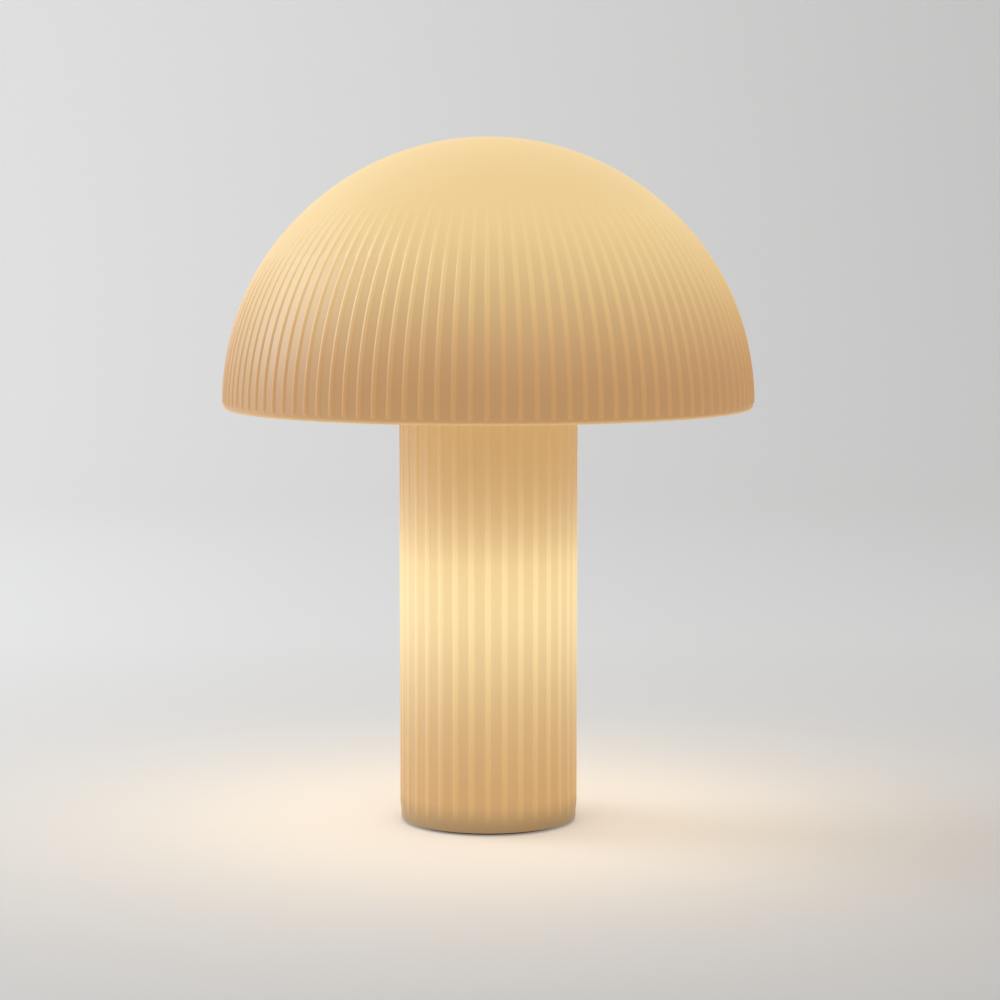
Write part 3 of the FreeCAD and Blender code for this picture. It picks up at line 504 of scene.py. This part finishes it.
def profile_object(rows: Sequence[tuple[float, float, float, Point]]) -> Object:
    """A wall's section as loose points that carry the share of rib height and the outward direction.

    Args:
        rows: Radius, height, rib weight and outward direction of each point of the section.

    Returns:
        The object, which the caller removes after use.
    """
    mesh = bpy.data.meshes.new("wall_section")
    mesh.from_pydata([(radius, 0, height) for radius, height, _, _ in rows], [], [])
    weight = mesh.attributes.new("rib_weight", "FLOAT", "POINT")
    outward = mesh.attributes.new("outward", "FLOAT_VECTOR", "POINT")
    for index, (_, _, share, (out_x, out_z)) in enumerate(rows):
        weight.data[index].value = share
        outward.data[index].vector = (out_x, 0, out_z)
    return link(bpy.data.objects.new("wall_section", mesh))


def new_geometry_group(name: str, inputs: Sequence[tuple[str, str]]) -> tuple[Tree, NodeOutputs]:
    """Make a Geometry Nodes tree with named inputs and one geometry output.

    Args:
        name: The tree's name.
        inputs: Name and socket type of each input.

    Returns:
        The wrapped tree and its inputs by name.
    """
    group = bpy.data.node_groups.new(name, "GeometryNodeTree")
    for label, kind in inputs:
        group.interface.new_socket(label, in_out="INPUT", socket_type=kind)
    group.interface.new_socket("Geometry", in_out="OUTPUT", socket_type="NodeSocketGeometry")
    tree = Tree(group)
    return tree, tree.add("NodeGroupInput").outputs


def end_geometry(tree: Tree, geometry: NodeSocket, material: NodeSocket
                 ) -> NodeTree:
    """Realize a tree's instances, set its material and end it."""
    real = tree.add("GeometryNodeRealizeInstances", {"Geometry": geometry})
    dressed = tree.add("GeometryNodeSetMaterial", {"Geometry": real.outputs[0], "Material": material})
    tree.add("NodeGroupOutput", {0: dressed.outputs[0]})
    return tree.tree


def ribbed_wall_tree() -> NodeTree:
    """Geometry Nodes tree that turns a wall's section round the z axis and raises its ribs."""
    tree, given = new_geometry_group("ribbed_wall", [
        ("Section", "NodeSocketObject"), ("Rows", "NodeSocketInt"), ("Ribs", "NodeSocketInt"),
        ("Steps", "NodeSocketInt"), ("Rib Height", FLOAT), ("Rib Share", FLOAT),
        ("Band Steps", FLOAT), ("Crest Phase", FLOAT), ("Material", "NodeSocketMaterial")])
    position = tree.add("GeometryNodeInputPosition").outputs[0]
    section = tree.add("GeometryNodeObjectInfo", {"Object": given["Section"]}).outputs["Geometry"]
    columns = tree.math("MULTIPLY", given["Ribs"], given["Steps"])
    grid = tree.add("GeometryNodeMeshGrid", {"Size X": 1.0, "Size Y": 1.0, "Vertices X": given["Rows"],
            "Vertices Y": tree.math("ADD", columns, 1.0)})
    spot = tree.axes(position)
    last_row = tree.math("SUBTRACT", given["Rows"], 1.0)
    row = tree.math("ROUND", tree.math("MULTIPLY", tree.math("ADD", spot[0], 0.5), last_row))
    column = tree.math("ROUND", tree.math("MULTIPLY", tree.math("ADD", spot[1], 0.5), columns))
    step = tree.math("DIVIDE", tree.math("FLOORED_MODULO", column, given["Steps"]), given["Steps"])
    rib = tree.math("FLOOR", tree.math("ADD", tree.math("DIVIDE", column, given["Steps"]), ROUNDING))
    band = tree.math("SUBTRACT", 1.0, given["Rib Share"])
    along = tree.math("ADD", tree.ramp(step, 0.0, given["Band Steps"], 0.0, band),
                      tree.ramp(step, given["Band Steps"], 1.0, 0.0, given["Rib Share"]))
    crest_at = tree.math("SUBTRACT", 1.0, tree.math("MULTIPLY", given["Rib Share"], 0.5))
    pitches = tree.math("ADD", tree.math("ADD", rib, along), tree.math("SUBTRACT", given["Crest Phase"], crest_at))
    angle = tree.math("DIVIDE", tree.math("MULTIPLY", pitches, TURN), given["Ribs"])
    across = tree.ramp(along, band, 1.0, -1.0, 1.0)
    crest = tree.math("SUBTRACT", 1.0, tree.math("MULTIPLY", across, across))
    outward = tree.add("GeometryNodeInputNamedAttribute", {"Name": "outward"}, data_type="FLOAT_VECTOR").outputs[0]
    weight = tree.add("GeometryNodeInputNamedAttribute", {"Name": "rib_weight"}, data_type="FLOAT").outputs[0]

    def sample(value: NodeSocket, kind: str) -> NodeSocket:
        """Read a value of the section's point for this row."""
        return tree.add("GeometryNodeSampleIndex", {"Geometry": section, "Value": value, "Index": row},
                        data_type=kind, domain="POINT").outputs[0]

    height = tree.math("MULTIPLY", tree.math("MULTIPLY", crest, given["Rib Height"]), sample(weight, "FLOAT"))
    raised = tree.scaled(sample(outward, "FLOAT_VECTOR"), height)
    flat = tree.vector("ADD", sample(position, "FLOAT_VECTOR"), raised)
    turned = tree.add("ShaderNodeVectorRotate", {"Vector": flat, "Angle": angle}, rotation_type="Z_AXIS")
    placed = tree.add("GeometryNodeSetPosition", {"Geometry": grid.outputs["Mesh"],
            "Position": turned.outputs[0]})
    merged = tree.add("GeometryNodeMergeByDistance", {"Geometry": placed.outputs[0],
            "Distance": MERGE_DISTANCE})
    return end_geometry(tree, merged.outputs[0], given["Material"])


def round_axis_tree() -> NodeTree:
    """Geometry Nodes tree that repeats a source piece at even angles round the z axis."""
    tree, given = new_geometry_group("round_axis", [
        ("Source", "NodeSocketObject"), ("Count", "NodeSocketInt"), ("First Angle", FLOAT),
        ("Material", "NodeSocketMaterial")])
    source = tree.add("GeometryNodeObjectInfo", {"Object": given["Source"]}).outputs["Geometry"]
    points = tree.add("GeometryNodeMeshLine", {"Count": given["Count"], "Offset": (0, 0, 0)}).outputs[0]
    index = tree.add("GeometryNodeInputIndex").outputs[0]
    pitch = tree.math("DIVIDE", TURN, given["Count"])
    angle = tree.math("ADD", tree.math("MULTIPLY", index, pitch), given["First Angle"])
    turn = tree.add("ShaderNodeCombineXYZ", {"Z": angle}).outputs[0]
    copies = tree.add("GeometryNodeInstanceOnPoints", {"Points": points, "Instance": source, "Rotation": turn})
    return end_geometry(tree, copies.outputs[0], given["Material"])


def run_tree(name: str, group: NodeTree, values: dict) -> Mesh:
    """Evaluate a Geometry Nodes tree with named input values and return its mesh.

    Args:
        name: Name of the mesh.
        group: The Geometry Nodes tree.
        values: Input values by the sockets' names.

    Returns:
        A plain mesh with no modifier behind it.
    """
    carrier = link(bpy.data.objects.new(name, bpy.data.meshes.new(name)))
    modifier = carrier.modifiers.new(name, "NODES")
    modifier.node_group = group
    for item in group.interface.items_tree:
        if item.item_type == "SOCKET" and item.in_out == "INPUT" and item.name in values:
            modifier[item.identifier] = values[item.name]
    return evaluated(carrier)


def arc_points(centre: Point, radius: float, start: float, end: float, steps: int) -> list[Point]:
    """Points of an arc in a section, by angles in degrees."""
    angles = [math.radians(start + (end - start) * step / steps) for step in range(steps + 1)]
    return [(centre[0] + radius * math.cos(angle), centre[1] + radius * math.sin(angle)) for angle in angles]


RIBBED_WALL = ribbed_wall_tree()
ROUND_AXIS = round_axis_tree()


def repeated(name: str, source: Mesh, count: int, first_angle: float, material: Material
             ) -> Object:
    """Repeat a mesh round the z axis as one piece.

    Args:
        name: The new piece's name.
        source: The mesh of one copy, at its place along the x axis.
        count: How many copies.
        first_angle: Angle of the first copy, in degrees.
        material: The material of all.

    Returns:
        The new piece.
    """
    single = link(bpy.data.objects.new("single", source))
    mesh = run_tree(name, ROUND_AXIS, {"Source": single, "Count": count,
            "First Angle": math.radians(first_angle), "Material": material})
    bpy.data.objects.remove(single)
    return mesh_object(name, mesh, material)


@dataclass
class RibbedWall:
    """A turned wall with ribs, as both the shade and the column are."""

    name: str
    ribs: int
    rib_height: float
    rib_share: float
    steps: int
    band_steps: float
    crest_phase: float

    def build(self, rows: Sequence[tuple[float, float, float, Point]], material: Material
              ) -> Mesh:
        """Turn a closed section into a ribbed wall.

        Args:
            rows: The section's points, as profile_object takes them, the first one not repeated.
            material: The wall's material.

        Returns:
            The wall's mesh.
        """
        closed = list(rows) + [rows[0]]
        section = profile_object(closed)
        mesh = run_tree(self.name, RIBBED_WALL, {
            "Section": section, "Rows": len(closed), "Ribs": self.ribs, "Steps": self.steps,
            "Rib Height": self.rib_height, "Rib Share": self.rib_share, "Band Steps": self.band_steps,
            "Crest Phase": self.crest_phase, "Material": material})
        bpy.data.objects.remove(section)
        shape = bmesh.new()
        shape.from_mesh(mesh)
        return shaped_mesh(self.name, shape)


# ---------------------------------------------------------------- shade


@dataclass
class Shade:
    """The dome: an even spherical wall with fine meridian ribs that sink into a smooth crown."""

    radius: float = 129.4 * MM
    wall: float = 3.4 * MM
    below_equator: float = 2.5 * MM
    ribs: RibbedWall = field(
        default_factory=lambda: RibbedWall("shade_shell", 108, 0.75 * MM, 0.38, 10, 0.3, 0.0))
    tip_rows: tuple[tuple[float, float], ...] = ((0.0, 0.0), (0.45, 0.0), (0.58, 0.55), (0.8, 0.88), (1.1, 1.0))
    rib_rows: int = 28
    crown_rows: int = 12
    rib_end: float = 54.0
    rib_fade: float = 34.0
    light_share: float = 0.42
    glow_from: float = 0.05
    glow_full: float = 0.75
    # painted highlight: a pale line along the lip's rounding, added to the glow
    painted_lip_highlight: tuple[float, float, float] = (1.6 * MM, 0.8 * MM, 0.35)
    tip_light: Point = (1.8 * MM, 2.8 * MM)
    inner_light: Point = (0.5, 0.9)
    lug_length: float = 14.0 * MM
    lug_width: float = 11.0 * MM
    lug_height: float = 9.0 * MM
    lug_reach: float = 126.2 * MM
    lug_edge: float = 0.8 * MM
    lug_count: int = 3
    lug_angle: float = 90.0

    @property
    def rim(self) -> float:
        """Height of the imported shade's rim."""
        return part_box("dome_shade")[0][2]

    @property
    def centre_height(self) -> float:
        """Height of the sphere's centre."""
        return self.rim + self.below_equator

    def weight_at(self, elevation: float) -> float:
        """Share of the full rib height at an elevation in degrees."""
        share = min(1.0, max(0.0, (elevation - self.rib_end + self.rib_fade) / self.rib_fade))
        return 1.0 - share * share * (3 - 2 * share)

    def section(self) -> list[tuple[float, float, float, Point]]:
        """Points of the wall's section from the rim over the crown and back inside."""
        level = self.centre_height
        lip = self.wall / 2
        start = math.degrees(math.asin((lip - self.below_equator) / self.radius))
        inner = self.radius - self.wall
        rows = []

        def add(radius: float, elevation: float, weight: float) -> None:
            """Add a point of the sphere's section."""
            angle = math.radians(elevation)
            out = (math.cos(angle), math.sin(angle))
            rows.append((max(0.0, radius * out[0]), level + radius * out[1], weight, out))

        for rise, weight in self.tip_rows:
            add(self.radius, start + rise, weight)
        low = start + self.tip_rows[-1][0]
        for step in range(1, self.rib_rows):
            elevation = low + (self.rib_end - low) * step / self.rib_rows
            add(self.radius, elevation, self.weight_at(elevation))
        for step in range(self.crown_rows + 1):
            add(self.radius, self.rib_end + (90 - self.rib_end) * step / self.crown_rows, 0.0)
        for step in range(self.crown_rows + 1):
            add(inner, 90 + (start - 90) * step / self.crown_rows, 0.0)
        middle = ((self.radius + inner) / 2 * math.cos(math.radians(start)), level + lip - self.below_equator)
        for radius, height in arc_points(middle, lip, 180, 360, 8)[1:-1]:
            rows.append((radius, height, 0.0, (0.0, -1.0)))
        return rows

    def level(self, tree: Tree, place: NodeSocket) -> NodeSocket:
        """Level of the lamplight: bright crown and dim skirt, with a painted highlight as a pale line along the lip.
        """
        height = tree.axes(place)[2]
        rise = tree.ramp(height, self.centre_height + self.glow_from * self.radius,
                         self.centre_height + self.glow_full * self.radius, smooth=True)
        # painted highlight: the glow is raised in a thin line just above the rim
        above, below, strength = self.painted_lip_highlight
        lip = tree.ramp(height, self.rim + above, self.rim + below, 0.0, strength)
        return tree.math("ADD", rise, lip)

    def inside(self, tree: Tree, place: NodeSocket) -> NodeSocket:
        """1 on the inner side of the wall, 0 on the outer."""
        away = tree.length(tree.vector("SUBTRACT", place, (0, 0, self.centre_height)))
        return tree.ramp(away, *(self.radius - share * self.wall for share in self.inner_light))

    def rib_weight(self, tree: Tree, place: NodeSocket) -> NodeSocket:
        """How far the ribs show in the lamplight: they fade at the crown and end above the lip."""
        height = tree.axes(place)[2]
        crown = [self.centre_height + self.radius * math.sin(math.radians(angle))
                 for angle in (self.rib_end, self.rib_end - self.rib_fade)]
        tip = tree.ramp(height, *(self.rim + above for above in self.tip_light))
        return tree.math("MULTIPLY", tree.ramp(height, *crown, smooth=True), tip)

    def lug(self) -> Mesh:
        """One inner lug with rounded edges, at its place along the x axis."""
        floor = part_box("shade_carrier")[1][2]
        shape = bmesh.new()
        bmesh.ops.create_cube(shape, size=1.0)
        size = (self.lug_length, self.lug_width, self.lug_height)
        bmesh.ops.scale(shape, vec=size, verts=shape.verts)
        middle = (self.lug_reach - self.lug_length / 2, 0, floor + self.lug_height / 2)
        bmesh.ops.translate(shape, vec=middle, verts=shape.verts)
        bmesh.ops.bevel(shape, geom=shape.edges[:], offset=self.lug_edge, segments=3, profile=0.5,
                        affect="EDGES")
        return shaped_mesh("lug", shape)

    def build(self) -> None:
        """Make the shade's shell and lugs and hang them on its body."""
        plastic = LitPlastic(
            "shade_plastic_lit", colour=(0.36, 0.28, 0.18), deep=(0.34, 0.150, 0.026), pale=(0.67, 0.475, 0.190),
            within=(0.80, 0.58, 0.30), ribs=self.ribs.ribs, crest_phase=self.ribs.crest_phase,
            rib_share=self.light_share, level=self.level, inside=self.inside, rib_weight=self.rib_weight).material()
        shell = mesh_object("shade_shell", self.ribs.build(self.section(), plastic), plastic)
        lugs = repeated("shade_lugs", self.lug(), self.lug_count, self.lug_angle, plastic)
        for piece in (shell, lugs):
            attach(piece, Body.SHADE.value)
            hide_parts("dome_shade")
            log.info("%s: %d faces", piece.name, len(piece.data.polygons))


# ---------------------------------------------------------------- column


@dataclass
class Column:
    """The ribbed round column with its smooth foot band, screw bosses and rear holes."""

    radius: float = 43.25 * MM
    wall: float = 2.85 * MM
    edge: float = 1.0 * MM
    ribs: RibbedWall = field(
        default_factory=lambda: RibbedWall("column_shell", 34, 0.6 * MM, 0.40, 14, 0.3, 0.5))
    rib_start: float = 2.4 * MM
    rib_full: float = 9.6 * MM
    bulb_height: float = 111 * MM
    glow_spread: float = 66 * MM
    light_share: float = 0.44
    ring_levels: Point = (22 * MM, 46 * MM)
    foot_dim: tuple[float, float, float] = (1.5 * MM, 16 * MM, 0.30)
    # painted shade: heights over which the glow dims towards the column's top, below the dome
    painted_shade_top: Point = (214 * MM, 130 * MM)
    bore_light: Point = (0.6, 0.9)
    bore_rise: Point = (15 * MM, 60 * MM)
    rear_holes: tuple[Point, ...] = ((13.0 * MM, 4.6 * MM), (34.0 * MM, 6.1 * MM))
    boss_circle: float = 36.6 * MM
    boss_radius: float = 4.2 * MM
    boss_hole: float = 1.3 * MM
    boss_edge: float = 0.4 * MM
    boss_heights: Point = (5.6 * MM, 15.1 * MM)
    boss_count: int = 3
    boss_angle: float = 45.0
    hole_sides: int = 48
    drill_depth: float = 20 * MM

    @property
    def ends(self) -> Point:
        """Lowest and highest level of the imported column."""
        low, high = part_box("column")
        return low[2], high[2]

    def section(self) -> list[tuple[float, float, float, Point]]:
        """Points of the wall's section from the bottom edge up the outside and down the bore."""
        low, high = self.ends
        out = (1.0, 0.0)
        rows = [(radius, height, 0.0, out)
                for radius, height in arc_points((self.radius - self.edge, low + self.edge), self.edge, 270, 360, 5)]
        steps = 10
        for step in range(steps + 1):
            share = step / steps
            height = low + self.rib_start + (self.rib_full - self.rib_start) * share
            rows.append((self.radius, height, share * share * (3 - 2 * share), out))
        for height in (*self.ring_levels, (low + high) / 2, high):
            rows.append((self.radius, height, 1.0, out))
        bore = self.radius - self.wall
        rows += [(bore, height, 0.0, out) for height in (high, *reversed(self.ring_levels), low)]
        return rows

    def level(self, tree: Tree, place: NodeSocket) -> NodeSocket:
        """Level of the lamplight: brightest beside the bulb, falling off above and below."""
        height = tree.axes(place)[2]
        away = tree.math("DIVIDE", tree.math("SUBTRACT", height, self.bulb_height), self.glow_spread)
        square = tree.math("ADD", tree.math("MULTIPLY", away, away), 1.0)
        return tree.math("POWER", square, -1.5)

    def inside(self, tree: Tree, place: NodeSocket) -> NodeSocket:
        """1 on the bore's wall beside the bulb, 0 outside and down in the foot."""
        parts = tree.axes(place)
        across = tree.length(tree.vector("MULTIPLY", place, (1, 1, 0)))
        bore = tree.ramp(across, *(self.radius - share * self.wall for share in self.bore_light))
        return tree.math("MULTIPLY", bore, tree.ramp(parts[2], *self.bore_rise, smooth=True))

    def rib_weight(self, tree: Tree, place: NodeSocket) -> NodeSocket:
        """How far the ribs show in the lamplight: they run out above the foot band."""
        low = self.ends[0]
        return tree.ramp(tree.axes(place)[2], low + self.rib_start, low + self.rib_full, smooth=True)

    def fade(self, tree: Tree, place: NodeSocket) -> NodeSocket:
        """The plate and ballast in the foot hold the light back; towards the top the glow is dimmed as painted shade
        from the dome above.
        """
        height = tree.axes(place)[2]
        foot = tree.ramp(height, *self.foot_dim, 1.0, smooth=True)
        # painted shade: the glow dims towards the top, where the dome shades the column
        top = tree.ramp(height, *self.painted_shade_top)
        return tree.math("MULTIPLY", foot, top)

    def drilled(self, wall: Mesh) -> Mesh:
        """Cut the rear holes for the grommet and the switch.

        Args:
            wall: The column's closed wall.

        Returns:
            The wall with its holes.
        """
        shape = bmesh.new()
        for height, radius in self.rear_holes:
            place = Matrix.Translation((0, self.radius, height)) @ Matrix.Rotation(math.pi / 2, 4, "X")
            bmesh.ops.create_cone(shape, cap_ends=True, segments=self.hole_sides, radius1=radius, radius2=radius,
                    depth=self.drill_depth, matrix=place)
        cutter = link(bpy.data.objects.new("hole_cutter", shaped_mesh("hole_cutter", shape)))
        blank = link(bpy.data.objects.new("column_shell", wall))
        cut = blank.modifiers.new("holes", "BOOLEAN")
        cut.operation = "DIFFERENCE"
        cut.solver = "EXACT"
        cut.object = cutter
        result = evaluated(blank)
        bpy.data.objects.remove(cutter)
        return result

    def boss(self) -> Mesh:
        """One screw boss: a short tube at its place along the x axis."""
        shape = bmesh.new()
        low, high = self.boss_heights
        rings = []
        edge = self.boss_edge
        for radius, height in ((self.boss_hole, low), (self.boss_radius, low), (self.boss_radius, high - edge),
                               (self.boss_radius - edge, high), (self.boss_hole, high)):
            rings.append([shape.verts.new((self.boss_circle + radius * math.cos(TURN * side / self.hole_sides),
                    radius * math.sin(TURN * side / self.hole_sides), height))
                          for side in range(self.hole_sides)])
        for ring, upper in zip(rings, rings[1:] + rings[:1]):
            for side in range(self.hole_sides):
                after = (side + 1) % self.hole_sides
                shape.faces.new((ring[side], ring[after], upper[after], upper[side]))
        return shaped_mesh("boss", shape)

    def build(self) -> None:
        """Make the column's shell and bosses and stand them on its body."""
        plastic = LitPlastic(
            "column_plastic_lit", colour=(0.36, 0.26, 0.135), deep=(0.31, 0.125, 0.016), pale=(0.70, 0.540, 0.275),
            within=(1.0, 0.78, 0.42), ribs=self.ribs.ribs, crest_phase=self.ribs.crest_phase,
            rib_share=self.light_share, level=self.level, inside=self.inside, rib_weight=self.rib_weight,
            fade=self.fade).material()
        wall = self.drilled(self.ribs.build(self.section(), plastic))
        shell = mesh_object("column_shell", wall, plastic)
        bosses = repeated("column_bosses", self.boss(), self.boss_count, self.boss_angle, plastic)
        for piece in (shell, bosses):
            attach(piece, Body.BASE.value)
            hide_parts("column")
            log.info("%s: %d faces", piece.name, len(piece.data.polygons))


# ---------------------------------------------------------------- fittings


@dataclass
class Fittings:
    """The solid pieces that keep their form: they get their finishes and softened edges."""

    soft_edges: dict[str, float] = field(default_factory=lambda: {
        "foot_ring": 0.5 * MM, "base_plate": 0.4 * MM, "cord_grommet": 0.5 * MM, "switch_body": 0.4 * MM,
        "switch_button": 0.5 * MM, "shade_carrier": 0.3 * MM, "ballast_disc": 0.6 * MM, "lampholder_cup": 0.4 * MM,
        "lampholder_sleeve": 0.3 * MM, "lampholder_core": 0.3 * MM, "terminal_block": 0.4 * MM,
        "base_screws": 0.2 * MM, "carrier_screws": 0.2 * MM, "tube_nuts": 0.3 * MM, "clamp_washer": 0.2 * MM,
        "block_screws": 0.15 * MM})
    bevel_segments: int = 2
    button_travel: float = 2.5 * MM
    spring_seat: float = 32.0 * MM
    smooth_only: tuple[str, ...] = ("bulb_glass", "bulb_cap", "bulb_insulator", "bulb_contact", "bulb_stem",
            "inner_wires", "threaded_tube", "lampholder_thread", "switch_nut")

    def shading_tree(self) -> NodeTree:
        """Geometry Nodes tree that joins loose triangles and shades them smooth up to a sharp edge."""
        tree, given = new_geometry_group("smooth_up_to_edges", [("Geometry", "NodeSocketGeometry")])
        joined = tree.add("GeometryNodeMergeByDistance", {"Geometry": given["Geometry"], "Distance": WELD_DISTANCE})
        smooth = tree.add("GeometryNodeSetShadeSmooth", {"Geometry": joined.outputs[0], "Shade Smooth": True})
        turn = tree.add("GeometryNodeInputMeshEdgeAngle").outputs[0]
        sharp = tree.add("FunctionNodeCompare", {0: turn, 1: SHARP_EDGE}, operation="GREATER_THAN")
        edged = tree.add("GeometryNodeSetShadeSmooth", {"Geometry": smooth.outputs[0], "Selection": sharp.outputs[0],
                "Shade Smooth": False}, domain="EDGE")
        tree.add("NodeGroupOutput", {0: edged.outputs[0]})
        return tree.tree

    def spring(self, material: Material) -> None:
        """Make the switch's coil spring as a copy of the imported spring's mesh, standing on the base.

        Args:
            material: The spring's material.
        """
        shape = bmesh.new()
        shape.from_mesh(frame["nodes"]["switch_spring"].data)
        coil = mesh_object("switch_coil", shaped_mesh("switch_coil", shape), material)
        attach(coil, Body.BASE.value)
        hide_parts("switch_spring")
        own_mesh(coil)
        log.info("switch_coil: %d faces", len(coil.data.polygons))

    def build(self) -> None:
        """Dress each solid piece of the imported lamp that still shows."""
        materials = {slot: finish.material() for slot, finish in FINISHES.items()}
        self.spring(materials["spring_steel"])
        shading = self.shading_tree()
        for row in frame["record"]["subparts"]:
            name, slot = row["node"], row["material_slot"]
            if slot not in materials:
                continue
            node = frame["nodes"][name]
            for place in node.material_slots:
                place.material = materials[slot]
            if name in self.soft_edges or name in self.smooth_only:
                node.modifiers.new("shading", "NODES").node_group = shading
            if name in self.soft_edges:
                bevel = node.modifiers.new("soft_edges", "BEVEL")
                bevel.width = self.soft_edges[name]
                bevel.segments = self.bevel_segments
                bevel.limit_method = "ANGLE"
                bevel.angle_limit = SHARP_EDGE
                bevel.harden_normals = True
            log.info("%s: finished as %s", name, materials[slot].name)


# ---------------------------------------------------------------- stage


@dataclass(frozen=True)
class SoftLight:
    """A flat soft light that the camera doesn't see, with its power in watts."""

    name: str
    place: tuple[float, float, float]
    aim: tuple[float, float, float]
    size: float
    power: float
    colour: Colour
    shape: str = "SQUARE"

    def hang(self) -> None:
        """Add the light to the scene, turned to the point that it faces."""
        data = bpy.data.lights.new(self.name, "AREA")
        data.shape = self.shape
        data.size = self.size
        data.energy = self.power
        data.color = self.colour
        lamp = link(bpy.data.objects.new(self.name, data))
        lamp.location = self.place
        lamp.rotation_euler = (Vector(self.aim) - Vector(self.place)).to_track_quat("-Z", "Y").to_euler()
        lamp.visible_camera = False
        lamp.visible_glossy = self.shape == "SQUARE"


@dataclass
class Studio:
    """Pale floor that curves up into a backdrop, soft lights and the camera."""

    camera_place: tuple[float, float, float] = (0.0057, -1.402, 0.2955)
    camera_pitch: float = 84.44
    lens: float = 103.0
    floor_front: float = -6.0
    floor_back: float = 1.6
    sweep: float = 0.9
    wall_top: float = 3.2
    half_width: float = 5.0
    ambient: float = 0.42
    background: float = 0.66
    air_colour: Colour = (0.97, 0.98, 1.0)
    # painted light: how much paler the camera sees the sweep towards the back and towards the key light's side
    depth_range: Point = (-0.5, 0.6)
    painted_light_depth: Point = (0.11, 0.27)
    side_range: float = 0.9
    painted_light_side: float = 0.11
    lights: tuple[SoftLight, ...] = (
        SoftLight("key_light", (-1.75, 0.5, 0.95), (0, 0, 0.2), 1.2, 14, (0.86, 0.93, 1.0)),
        SoftLight("front_fill", (0.8, -2.6, 1.6), (0, 0, 0.15), 2.0, 4, (1.0, 1.0, 1.0)))
    pool_radius: float = 118 * MM
    pool_power: float = 0.28
    pool_colour: Colour = (1.0, 0.80, 0.52)

    def backdrop(self) -> None:
        """Make the floor and backdrop as one sweep, with painted light that the camera sees: paler towards the back
        and towards the key light's side.
        """
        points = [(self.floor_front, 0.0), (self.floor_back, 0.0)]
        points += arc_points((self.floor_back, self.sweep), self.sweep, 270, 360, 24)[1:]
        points.append((self.floor_back + self.sweep, self.wall_top))
        shape = bmesh.new()
        pairs = [[shape.verts.new((side * self.half_width, y, z)) for y, z in points] for side in (-1, 1)]
        for index in range(len(points) - 1):
            shape.faces.new((pairs[0][index], pairs[1][index], pairs[1][index + 1], pairs[0][index + 1]))
        mesh = bpy.data.meshes.new("backdrop")
        shape.to_mesh(mesh)
        shape.free()
        material, tree, shader, place = new_material("pale_sweep")
        shader.inputs["Base Color"].default_value = (0.80, 0.785, 0.765, 1)
        shader.inputs["Roughness"].default_value = 0.8
        shader.inputs["Specular IOR Level"].default_value = 0.1
        parts = tree.axes(place)
        # painted light: emission that the camera sees, paler towards the back and the key light's side
        depth = tree.ramp(parts[1], *self.depth_range, *self.painted_light_depth)
        side = tree.ramp(parts[0], -self.side_range, self.side_range, self.painted_light_side, -self.painted_light_side)
        lift = tree.math("MAXIMUM", tree.math("ADD", depth, side), 0.0)
        path = tree.add("ShaderNodeLightPath").outputs
        seen = tree.math("MAXIMUM", path["Is Camera Ray"],
                         tree.math("MAXIMUM", path["Is Glossy Ray"], path["Is Transmission Ray"]))
        tree.feed(shader.inputs["Emission Strength"], tree.math("MULTIPLY", lift, seen))
        shader.inputs["Emission Color"].default_value = (1, 1, 1, 1)
        mesh_object("backdrop", mesh, material)

    def air(self) -> None:
        """Set the world: a plain soft light all round, seen by the camera as the backdrop's tone."""
        world = bpy.data.worlds.new("studio_air")
        bpy.context.scene.world = world
        world.use_nodes = True
        tree = Tree(world.node_tree)
        sky = world.node_tree.nodes["Background"]
        sky.inputs["Color"].default_value = (*self.air_colour, 1)
        seen = tree.add("ShaderNodeLightPath").outputs["Is Camera Ray"]
        tree.feed(sky.inputs["Strength"], tree.ramp(seen, 0.0, 1.0, self.ambient, self.background))

    def build(self) -> None:
        """Set up the backdrop, lights, world and camera."""
        self.backdrop()
        self.air()
        under = (0, 0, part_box("dome_shade")[0][2] - 1 * MM)
        pool = SoftLight("shade_pool", under, (0, 0, 0), 2 * self.pool_radius, self.pool_power, self.pool_colour,
                         "DISK")
        for light in (*self.lights, pool):
            light.hang()
        camera = bpy.data.cameras.new("camera")
        camera.lens = self.lens
        camera.sensor_width = 36
        camera.clip_end = 20
        viewer = link(bpy.data.objects.new("camera", camera))
        viewer.location = self.camera_place
        viewer.rotation_euler = (math.radians(self.camera_pitch), 0, 0)
        bpy.context.scene.camera = viewer
        bpy.context.scene.view_settings.view_transform = "Standard"


def main() -> None:
    """Build the lamp's looks piece by piece, then the studio."""
    logging.basicConfig(level=logging.INFO)
    Shade().build()
    Column().build()
    Fittings().build()
    Studio().build()


if __name__ == "__main__":
    main()
